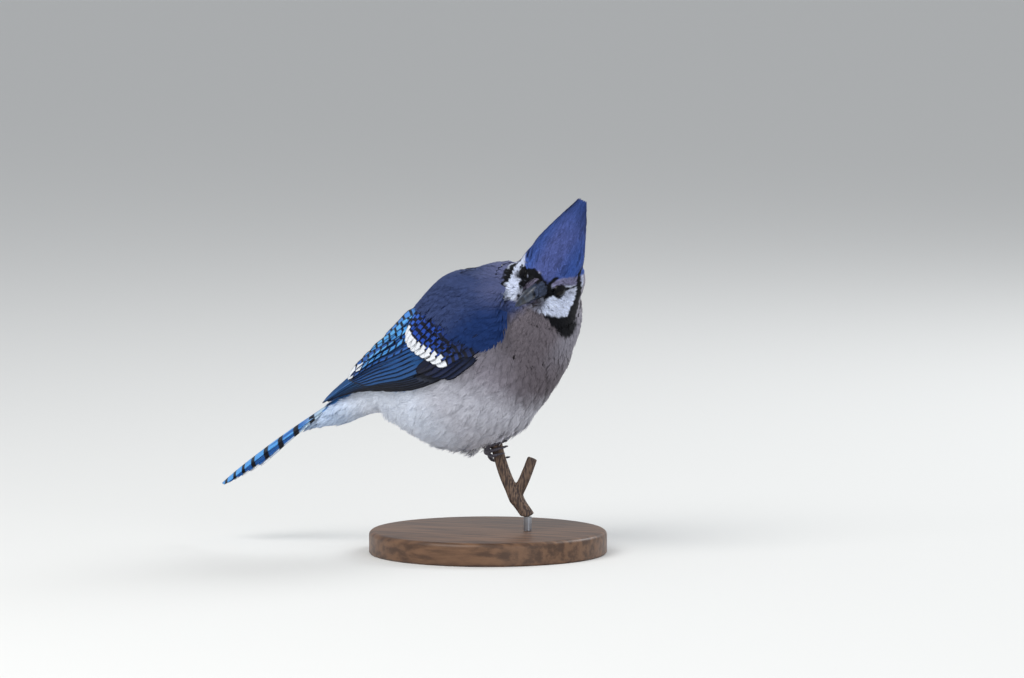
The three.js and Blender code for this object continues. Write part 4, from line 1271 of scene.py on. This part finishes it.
# The wing's rows of feathers. Places are mm along the body and degrees from the middle of the back.
# Roots run from the first feather to the last. "white" feathers have white tips; a tip of -9 shows none.
tierBase = {
    "kind": "covert", "tilt": 6, "lean": 0.0, "white": 0, "spacing": 60, "share": 0, "slant": 0.2,
    "tip": -9, "edge": 0.7, "barDepth": 0.0, "roughness": 0.42,
}
wingTiers = {
    "primaries": {
        "kind": "flight", "half": 3.4, "roots": ((16, 92), (11, 78)), "lifts": (-0.8, 1.2),
        "tips": ((-30, 73), (-38, 67), (-45, 61), (-51, 55), (-56, 50), (-60, 45), (-63, 40), (-66, 35),
                 (-68, 30), (-70, 26), (-70, 22)),
        "tones": ((30, 34, 48), (32, 38, 54), (34, 42, 62), (36, 46, 70), (38, 56, 88), (40, 70, 112),
                  (42, 84, 134), (42, 90, 146), (42, 94, 154), (44, 98, 160), (46, 100, 164)),
        "camber": 0.4, "lean": 0.25, "edge": 0.6, "edgeDepth": 0.85, "shaftDepth": 0.7},
    "secondaries": {
        "kind": "flight", "half": 3.6, "roots": ((14, 80), (12, 58)), "lifts": (1.3, 2.7),
        "tips": ((-40, 60), (-42, 55.5), (-44, 51), (-45.5, 47), (-46.5, 43), (-47.5, 39), (-48, 35)),
        "tones": ((34, 80, 136), (36, 82, 140), (36, 84, 144), (34, 80, 140), (30, 72, 130), (24, 58, 110),
                  (18, 42, 86)),
        "camber": 0.5, "lean": 0.2, "slant": 0.35, "edge": 0.6, "edgeDepth": 0.9, "shaftDepth": 0.5},
    "tertials": {
        "kind": "tertial", "half": 5.2, "roots": ((14, 60), (11, 34)), "lifts": (2.8, 5.0),
        "tips": ((-49, 28), (-42, 29), (-32, 28), (-20, 26)),
        "tones": ((46, 98, 176), (76, 152, 226), (96, 176, 240), (74, 140, 222)),
        "camber": 0.8, "lean": 0.1, "white": 2, "spacing": 5.6, "share": 0.32, "slant": 0.25, "tip": 6.5,
        "edge": 0.8, "barDepth": 0.97, "edgeDepth": 0.8, "shaftDepth": 0.25, "roughness": 0.4},
    # painted shadow: the primary coverts' dark slate is made darker still, for the shadow at their tips
    "primaryCoverts": {
        "half": 3.2, "roots": ((32, 96), (29, 84)), "lifts": (0.8, 2.4),
        "tips": ((8, 93), (5, 89.5), (2, 86), (-1, 82), (-4, 77)),
        "tones": ((22, 32, 60), (20, 32, 64), (20, 32, 66), (18, 28, 60), (16, 22, 44)),
        "camber": 0.5, "lean": 0.2, "slant": 0.3, "edgeDepth": 0.8, "shaftDepth": 0.8, "roughness": 0.45},
    "greaterCoverts": {
        "half": 3.6, "roots": ((33, 90), (24, 38)), "lifts": (2.6, 4.8),
        "tips": ((8.4, 82.5), (6.4, 78.5), (4.4, 74.5), (2.4, 70.5), (0.4, 66.5), (-1.2, 62), (-2.4, 57.5),
                 (-2.6, 53.5), (-1.6, 50), (0.6, 47.4)),
        "tones": ((24, 50, 112), (28, 60, 132), (30, 66, 150), (32, 72, 164), (34, 74, 170), (34, 74, 172),
                  (36, 74, 172), (40, 82, 182), (50, 98, 198), (58, 112, 208)),
        "camber": 0.8, "tilt": 7, "white": 9, "spacing": 4.4, "share": 0.48, "tip": 6.0, "barDepth": 0.97,
        "edgeDepth": 0.9, "shaftDepth": 0.4},
    "medianCoverts": {
        "half": 4.0, "roots": ((44, 92), (38, 38)), "lifts": (3.2, 5.0),
        "tips": ((24, 90), (21, 84), (18.5, 77), (17, 70), (15.5, 63), (13.5, 56), (10.5, 49), (8, 42)),
        "tones": ((18, 38, 86), (20, 44, 100), (24, 52, 120), (26, 56, 130), (28, 58, 134), (28, 56, 128),
                  (30, 60, 130), (32, 68, 138)),
        "camber": 0.8, "tilt": 7, "spacing": 4.4, "share": 0.44, "barDepth": 0.92, "edgeDepth": 0.7,
        "shaftDepth": 0.4, "roughness": 0.5},
}
wingTiers = {name: {**tierBase, **tier} for name, tier in wingTiers.items()}
vaneColours = {"dark": (7, 9, 22), "white": (238, 242, 248)}


def wingFeather(side, tier, k, root, tip, rootLift, tipLift):
    def place(u, more=0.0):
        lift = lerp(rootLift, tipLift, np.minimum(u * 3, 1))
        angle = lerp(root[1], tip[1], u) + more
        flatter = lerp(0.3, 1, np.sin(np.radians(angle)) ** 2)
        return onBody(wingStations, lerp(root[0], tip[0], u), angle, side, lift * flatter)

    def frameAt(u):
        ahead = np.minimum(u + 0.05, 1)
        along = unit(place(ahead) - place(ahead - 0.1))
        down = unit(place(u, 1.0) - place(u, -1.0))
        normal = unit(np.cross(along, down) * side)
        across = np.cross(normal, along) * side
        across = np.where(dot(across, down) < 0, -across, across)
        roll = math.radians(tier["tilt"])
        rolled = across * math.cos(roll) + normal * math.sin(roll)
        return place(u), rolled, normal * math.cos(roll) - across * math.sin(roll)

    line = place(np.linspace(0, 1, 20))
    length = np.linalg.norm(np.diff(line, axis=0), axis=1).sum()
    shift = 0.0 if k < tier["white"] else 2 * tier["spacing"]
    rings = vaneRings(frameAt, tier["half"], length, tier["kind"], tier["camber"], -tier["lean"], shift)
    tone = linear(tier["tones"][k]) * draw.uniform(0.93, 1.07)
    return {"rings": rings, "tone": np.broadcast_to(tone, rings[0].shape)}


def dressWing(side, word, solid):
    pieces = []
    for name, tier in wingTiers.items():
        feathers = []
        for k, tip in enumerate(tier["tips"]):
            share = k / (len(tier["tips"]) - 1)
            root = [lerp(tier["roots"][0][i], tier["roots"][1][i], share) for i in (0, 1)]
            lift = lerp(*tier["lifts"], share)
            feathers.append(wingFeather(side, tier, k, root, tip, lift - 2.6, lift))
        pieces.append(vanePiece(name + word, feathers, vaneMaterials[name]))
    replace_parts(pieces[0], solid)


print("wings")
vaneMaterials = {name: vaneMaterial(name, {**tier, **vaneColours}) for name, tier in wingTiers.items()}
dressWing(-1, "Right", "wing_right")
dressWing(1, "Left", "wing_left")


# Tail: six pairs, each shorter and under the one inside it, turned a little to the right as a whole
tailLook = {
    "tip": -143, "root": -69, "level": 66.6, "sag": 3.2, "shorter": (0, 3, 7, 12, 18, 25),
    "centralHalf": 6.4, "outerHalf": 4.5, "centralOut": 1.6, "firstStep": 2, "pairStep": 0.35,
    "spacing": 0.32, "roll": (1, 1.2),
    "twist": 17, "camber": 1.1, "white": (0, 3, 5, 7, 8, 8.5), "colour": (84, 162, 234),
    "deeper": (44, 108, 190), "pale": (190, 206, 228), "paleLitRoot": (196, 222, 240), "shear": 0.33,
    "bars": (9.8, 16, 22.7, 32, 42, 52.7, 63.5, 74.3), "pitch": 10.0,
    "pattern": {"share": 0.32, "slant": 0.0, "tip": 9.0, "edge": 0.4, "barDepth": 0.99, "edgeDepth": 0.25,
                "shaftDepth": 0.35, "roughness": 0.38},
}


# The bars lie at the photo's distances from the tail's tip, on every feather alike
def barPlace(fromEnd):
    bars = np.array(tailLook["bars"])
    place = np.interp(fromEnd, bars, np.arange(len(bars)) + 0.5)
    place = place - np.clip(bars[0] - fromEnd, 0, 99) / (bars[1] - bars[0])
    return np.where(fromEnd > bars[-1] + 3.5, len(bars), place) * tailLook["pitch"]


def dressTail():
    look, feathers = tailLook, []
    drop, out = 0.0, look["centralOut"]
    for pair, less in enumerate(look["shorter"]):
        roll = math.radians(look["roll"][0] + look["roll"][1] * pair)
        for side in (-1, 1):
            turn = side * roll - math.radians(look["twist"])
            tipAlong = look["tip"] + less
            lower = drop + (0.3 if side > 0 else 0)
            reach = out

            def frameAt(u, side=side, turn=turn, tipAlong=tipAlong, lower=lower, reach=reach):
                spread = np.clip(u * 1.4, 0, 1)
                left = side * reach * lerp(0.45, 1, spread)
                up = (look["level"] - lower * lerp(0.5, 1, spread) - look["sag"] * u**3
                      + left * spread * math.sin(math.radians(look["twist"])))
                flat = np.ones((len(u), 1))
                across = flat * (math.cos(turn) * axisAxes[1] - math.sin(turn) * axisAxes[2])
                normal = flat * (math.sin(turn) * axisAxes[1] + math.cos(turn) * axisAxes[2])
                return fromAxis(lerp(look["root"], tipAlong, u), left, up), across, normal

            half = look["outerHalf"] if pair else look["centralHalf"]
            shown = 1 if pair == 0 or side < 0 else 0
            rings = vaneRings(frameAt, half, look["root"] - tipAlong, "tail", look["camber"],
                              shift=9 - look["white"][pair], shear=look["shear"] if side > 0 else 0.05,
                              bars=lambda fromTip, less=less, shown=shown: shown * barPlace(fromTip + less))
            tone = linear(look["pale"] if pair == 5 else look["colour"] if pair == 0 else look["deeper"])
            fromRoot = look["root"] - toAxis(rings[0])[:, 0]
            # the feathers' bases are painted pale: partly the pale coverts' colour, partly painted light
            # over the shade at the tail's base
            tone = mixed(tone, linear(look["paleLitRoot"]), 0.85 * ramp(16, 3, fromRoot - 2 * pair))
            feathers.append({"rings": rings, "tone": tone * draw.uniform(0.94, 1.06)})
        step = look["pairStep"] if pair else look["firstStep"]
        drop += look["spacing"] + step * math.tan(roll)
        out += step
    material = vaneMaterial("barredTail", {**look["pattern"], **vaneColours, "spacing": look["pitch"]})
    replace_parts(vanePiece("tailFeathers", feathers, material), "tail")


print("tail")
dressTail()


# Bill: both halves from the same ridge and cutting edge as the solid's, drawn finer
billLook = {
    "base": 15, "length": 28, "halfWidth": 4.6, "gap": 0.3, "mouth": -1.7, "colour": (17, 22, 33),
    "pale": (44, 56, 76),
}


def billHalf(upper):
    reach = billLook["length"] if upper else billLook["length"] - 2

    def place(share, angle):
        u = np.clip((share * 24 - 1) / 23, 0, 1)
        forward = lerp(billLook["base"] - 4, billLook["base"] + reach, u)
        q = np.clip((forward - billLook["base"]) / billLook["length"], -0.2, 1)
        mouth = billLook["mouth"] - 1.3 * q * q
        rising = 3.6 - 6.2 * np.maximum(q, 0) ** 2.1 if upper else -6 + 2.7 * np.maximum(q, 0) ** 1.3
        edge = mouth + (0.5 if upper else -0.5) * billLook["gap"]
        end = (share <= 1e-4) | (share >= 1 - 1e-4)
        widest = billLook["halfWidth"] * (1 if upper else 0.9)
        half = np.where(end, 0, widest * (1 - np.maximum(q, 0)) ** 0.8 + 0.3)
        arch = np.where(end, 0.5, np.cos(angle))
        crowned = np.minimum(np.maximum(arch, 0), 1) ** 1.15
        return fromHead(forward, half * np.sin(angle) * (1 - 0.12 * crowned), lerp(edge, rising, crowned))

    return mappedSphere(28, 26, place)


def billMaterial():
    material, tree, shader = newMaterial("slateHorn", 0.34)
    streaks = objectNoise(tree, 260, 4)
    share = smoothStep(tree, streaks, 0.35, 0.7)
    colour = mixColour(tree, share, rgba(billLook["colour"]), rgba(billLook["pale"]))
    unevenColour(tree, 0.7, colour, shader)
    bumpInto(tree, shader, streaks, 0.0002, 0.5)
    return material


print("bill, eyes and lids")
horn = billMaterial()
for upper, name, solid in ((True, "upperBill", "bill_upper"), (False, "lowerBill", "bill_lower")):
    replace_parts(pieceFromBmesh(name, billHalf(upper), horn, 1), solid)


# Nasal bristles lie forward over the root of the bill, in a tuft on each side of its ridge
bristleLook = {
    **featherBase, "count": 260, "length": 8.5, "height": 0.5, "wander": 0.07, "barbs": 6, "start": 0.1,
    "spread": 0.2, "loose": 0.6, "cup": 0.1, "mottle": 0.24, "rootShade": 0.7, "wide": 0.55, "free": 1.0,
    "turn": 1.9, "forward": (13.0, 19.5), "out": (5.6, 4.1), "centre": -1.2,
}


def noseBristles():
    look, count = bristleLook, bristleLook["count"]
    turn = draw.uniform(-look["turn"], look["turn"], count)
    forward = draw.uniform(*look["forward"], count)
    back, front = look["forward"]
    out = lerp(*look["out"], (forward - back) / (front - back)) * draw.uniform(0.97, 1.05, count)
    places = fromHead(forward, out * np.sin(turn), look["centre"] + out * 0.98 * np.cos(turn))
    normals = unit(places - fromHead(forward, 0, look["centre"]))
    side = np.sign(turn)[:, None] * headLeft
    lie = unit(headFront - 0.16 * normals + 0.05 * side - 0.05 * headTop)
    aside = np.abs(turn)
    tone = mixed(linear(palette["bristle"]), linear(palette["bristleWarm"]), ramp(0.35, -0.35, turn))
    tone = mixed(tone, linear(palette["black"]), ramp(0.22, 0.08, aside) + ramp(1.45, 1.7, aside))
    shorter = 1 - 0.35 * ramp(0.9, 1.8, aside)
    growFeathers("noseBristles", places, normals, look, softPlumage, tone, lie, shorter)


noseBristles()


# Eyes: a wet dark globe with a faint brown iris, in a ring of skin
def eyeMaterial():
    material, tree, shader = newMaterial("wetEye", 0.12, 0.15)
    unevenColour(tree, 0.6, meshTone(tree), shader)
    shader.inputs["Coat Weight"].default_value = 0.05
    shader.inputs["Coat Roughness"].default_value = 0.05
    return material


def lidMaterial():
    material, tree, shader = newMaterial("lidSkin", 0.6, 0.1)
    uneven = unevenColour(tree, 0.8, rgba(lidLook["colour"]), shader)
    bumpInto(tree, shader, uneven.outputs["Grain"], 0.0003)
    return material


# The lids' ring starts as a plain ring of this radius, with a round section of radius 1
lidLook = {
    "ring": 3, "around": 20, "steps": 72, "reach": 3.15, "thick": 0.24, "upper": 1.75, "lower": 2.1,
    "outer": 1.2, "off": 0.12, "crease": 0.07, "colour": (9, 9, 14),
}


def makeEye(side, word, solid):
    centre = eyeCentre(side)
    across, top, outward = eyeAxes(side)
    radius = eyeLook["radius"]

    def place(share, angle):
        bulge = 1 + 0.05 * ramp(0.3, 0.0, share)
        return (centre + outward * (radius * bulge * np.cos(math.pi * share))[:, None]
                + across * (radius * np.sin(math.pi * share) * np.cos(angle))[:, None]
                + top * (radius * np.sin(math.pi * share) * np.sin(angle))[:, None])

    globe = pieceFromBmesh("eye" + word, mappedSphere(40, 30, place), wetEye)
    seen = unit(meshPoints(globe.data) - centre) @ outward
    iris = ramp(0.90, 0.86, seen)[:, None] * ramp(0.60, 0.66, seen)[:, None]
    setTone(globe.data, lerp(linear(eyeLook["black"]), linear(eyeLook["iris"]), iris))
    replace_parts(globe, solid)

    # one fold of skin over the globe forms both lids, open in an almond
    look = lidLook
    fold = bmesh.new()
    bmesh.ops.create_circle(fold, segments=look["around"], radius=1, cap_ends=False)
    bmesh.ops.rotate(fold, verts=fold.verts, cent=(0, 0, 0), matrix=Matrix.Rotation(math.pi / 2, 3, "X"))
    bmesh.ops.translate(fold, verts=fold.verts, vec=(look["ring"], 0, 0))
    bmesh.ops.spin(fold, geom=fold.verts[:] + fold.edges[:], cent=(0, 0, 0), axis=(0, 0, 1),
                   angle=2 * math.pi, steps=look["steps"], use_merge=True)
    bmesh.ops.remove_doubles(fold, verts=fold.verts, dist=1e-4)
    for v in fold.verts:
        x, y, z = v.co
        turn, reach = math.atan2(y, x), math.hypot(x, y) - look["ring"]
        half = look["upper"] if y > 0 else look["lower"]
        opening = 1 / math.hypot(math.cos(turn) / look["reach"], math.sin(turn) / half)
        opening = opening * (1 - 0.1 * abs(math.cos(turn)) ** 2)
        inner = math.asin(min(opening / radius, 0.98))
        polar = lerp(inner, look["outer"], (reach + 1) / 2)
        crease = look["crease"] * math.sin(polar * 14) * (z > 0.3)
        shell = radius + look["off"] + look["thick"] * z * (0.6 + 0.4 * abs(reach)) + crease
        v.co = (centre + outward * shell * math.cos(polar)
                + (across * math.cos(turn) + top * math.sin(turn)) * shell * math.sin(polar))
    bmesh.ops.recalc_face_normals(fold, faces=fold.faces)
    pieceFromBmesh("eyelid" + word, fold, lidSkin)


wetEye, lidSkin = eyeMaterial(), lidMaterial()
makeEye(-1, "Right", "eye_right")
makeEye(1, "Left", "eye_left")


# Feet: finer copies of the solids' toes and claws, with scutes across the toes
footLook = {
    "voxel": 0.28, "smoothing": 3, "colour": (26, 25, 32), "worn": (74, 70, 80), "scutes": 15.0,
    "centre": (-0.0055, 0, -0.052),
}


def footMaterial():
    material, tree, shader = newMaterial("scaledFoot", 0.45)
    place = node(tree, "ShaderNodeTexCoord")
    centred = node(tree, "ShaderNodeMapping")
    centred.inputs["Location"].default_value = footLook["centre"]
    tree.links.new(place.outputs["Object"], centred.inputs["Vector"])
    parts = node(tree, "ShaderNodeSeparateXYZ")
    tree.links.new(centred.outputs[0], parts.inputs[0])
    turn = maths(tree, "ARCTAN2", parts.outputs[1], parts.outputs[0])
    scutes = maths(tree, "ABSOLUTE", maths(tree, "SINE", maths(tree, "MULTIPLY", turn, footLook["scutes"])))
    groove = smoothStep(tree, scutes, 0.0, 0.35)
    colour = mixColour(tree, groove, rgba(footLook["colour"]), rgba(footLook["worn"]))
    unevenColour(tree, 0.8, colour, shader)
    bumpInto(tree, shader, groove, 0.0002)
    return material


def finerCopy(name, solid, look, material):
    made = bmesh.new()
    made.from_mesh(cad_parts[solid].data)
    bmesh.ops.remove_doubles(made, verts=made.verts, dist=skinLook["merge"])
    mesh = bpy.data.meshes.new(name)
    made.to_mesh(mesh)
    made.free()
    piece = placeObject(name, mesh)
    made = remeshed(piece, look["voxel"])
    smoothOut(made, look["smoothing"])
    made.to_mesh(mesh)
    made.free()
    mesh.shade_smooth()
    mesh.materials.append(material)
    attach(piece, "root")
    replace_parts(piece, solid)


print("feet")
scaledFoot = footMaterial()
for word, solid in (("Right", "leg_right"), ("Left", "leg_left")):
    finerCopy("foot" + word, solid, footLook, scaledFoot)


# Perch: the cut stem, with ridged bark
stemLook = {
    "voxel": 0.55, "smoothing": 2, "colour": (118, 98, 84), "dark": (66, 56, 54), "roughness": 0.82,
    "specular": 0.25, "stretch": (1, 1, 0.16), "scale": 1300, "detail": 5, "range": (0.38, 0.62),
    "uneven": 1.2, "bump": (0.0006, 1.0),
}
# Stand: a turned base and a plain rod
standLook = {
    "radius": 62, "height": 12, "edge": 2.5, "chamfer": 0.8, "rodRadius": 2.1, "around": 96, "edgeSteps": 8,
    "crisp": 40,
}
woodLook = {
    "colour": (112, 82, 60), "dark": (74, 52, 38), "roughness": 0.42, "specular": 0.4, "stretch": (1, 9, 9),
    "scale": 30, "detail": 6, "range": (0.35, 0.65), "uneven": 0.35, "bump": (0.0003, 0.4),
}


# Bark and wood: streaks of two colours, drawn out along the grain
def grainMaterial(name, look):
    material, tree, shader = newMaterial(name, look["roughness"], look["specular"])
    grain = objectNoise(tree, look["scale"], look["detail"], 0.5, look["stretch"])
    share = smoothStep(tree, grain, *look["range"])
    colour = mixColour(tree, share, rgba(look["dark"]), rgba(look["colour"]))
    unevenColour(tree, look["uneven"], colour, shader)
    bumpInto(tree, shader, grain, *look["bump"])
    return material


def steelMaterial():
    material, tree, shader = newMaterial("brushedRod", 0.32)
    shader.inputs["Metallic"].default_value = 1.0
    uneven = unevenColour(tree, 0.3, rgba((160, 162, 168)), shader)
    bumpInto(tree, shader, uneven.outputs["Grain"], 0.00005)
    return material


def turnedBase():
    look = standLook
    profile = [(0.0, 0.0), (look["radius"] - look["chamfer"], 0.0), (look["radius"], look["chamfer"])]
    for k in range(look["edgeSteps"] + 1):
        turn = k / look["edgeSteps"] * math.pi / 2
        profile.append((look["radius"] - look["edge"] * (1 - math.cos(turn)),
                        look["height"] - look["edge"] * (1 - math.sin(turn))))
    profile.append((0.0, look["height"]))
    made = bmesh.new()
    verts = [made.verts.new((x, 0, z)) for x, z in profile]
    edges = [made.edges.new(pair) for pair in zip(verts, verts[1:])]
    bmesh.ops.spin(made, geom=verts + edges, cent=(0, 0, 0), axis=(0, 0, 1), angle=2 * math.pi,
                   steps=look["around"], use_merge=True)
    bmesh.ops.remove_doubles(made, verts=made.verts, dist=1e-4)
    bmesh.ops.recalc_face_normals(made, faces=made.faces)
    return made


def plainRod():
    low, high = (np.array(corner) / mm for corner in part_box("stand_rod"))
    made = bmesh.new()
    bmesh.ops.create_cone(made, cap_ends=True, segments=40, radius1=standLook["rodRadius"],
                          radius2=standLook["rodRadius"], depth=float(high[2] - low[2]))
    bmesh.ops.translate(made, verts=made.verts, vec=Vector((low + high) / 2))
    return made


print("perch and stand")
finerCopy("barkStem", "perch_stem", stemLook, grainMaterial("weatheredBark", stemLook))
basePiece = pieceFromBmesh("turnedBase", turnedBase(), grainMaterial("turnedWood", woodLook))
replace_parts(basePiece, "stand_base")
rodPiece = pieceFromBmesh("plainRod", plainRod(), steelMaterial())
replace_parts(rodPiece, "stand_rod")
for piece in (basePiece, rodPiece):
    split = piece.modifiers.new("crispEdges", "EDGE_SPLIT")
    split.split_angle = math.radians(standLook["crisp"])


# Floor and backdrop
def studioFloor():
    made = bmesh.new()
    bmesh.ops.create_grid(made, x_segments=1, y_segments=1, size=studioLook["floorHalf"])
    mesh = bpy.data.meshes.new("studioFloor")
    for v in made.verts:
        v.co *= mm
    made.to_mesh(mesh)
    made.free()
    material, _, shader = newMaterial("paleFloor", 0.9, 0.2)
    shader.inputs["Base Color"].default_value = rgba(studioLook["floorColour"])
    mesh.materials.append(material)
    placeObject("studioFloor", mesh)


studioFloor()
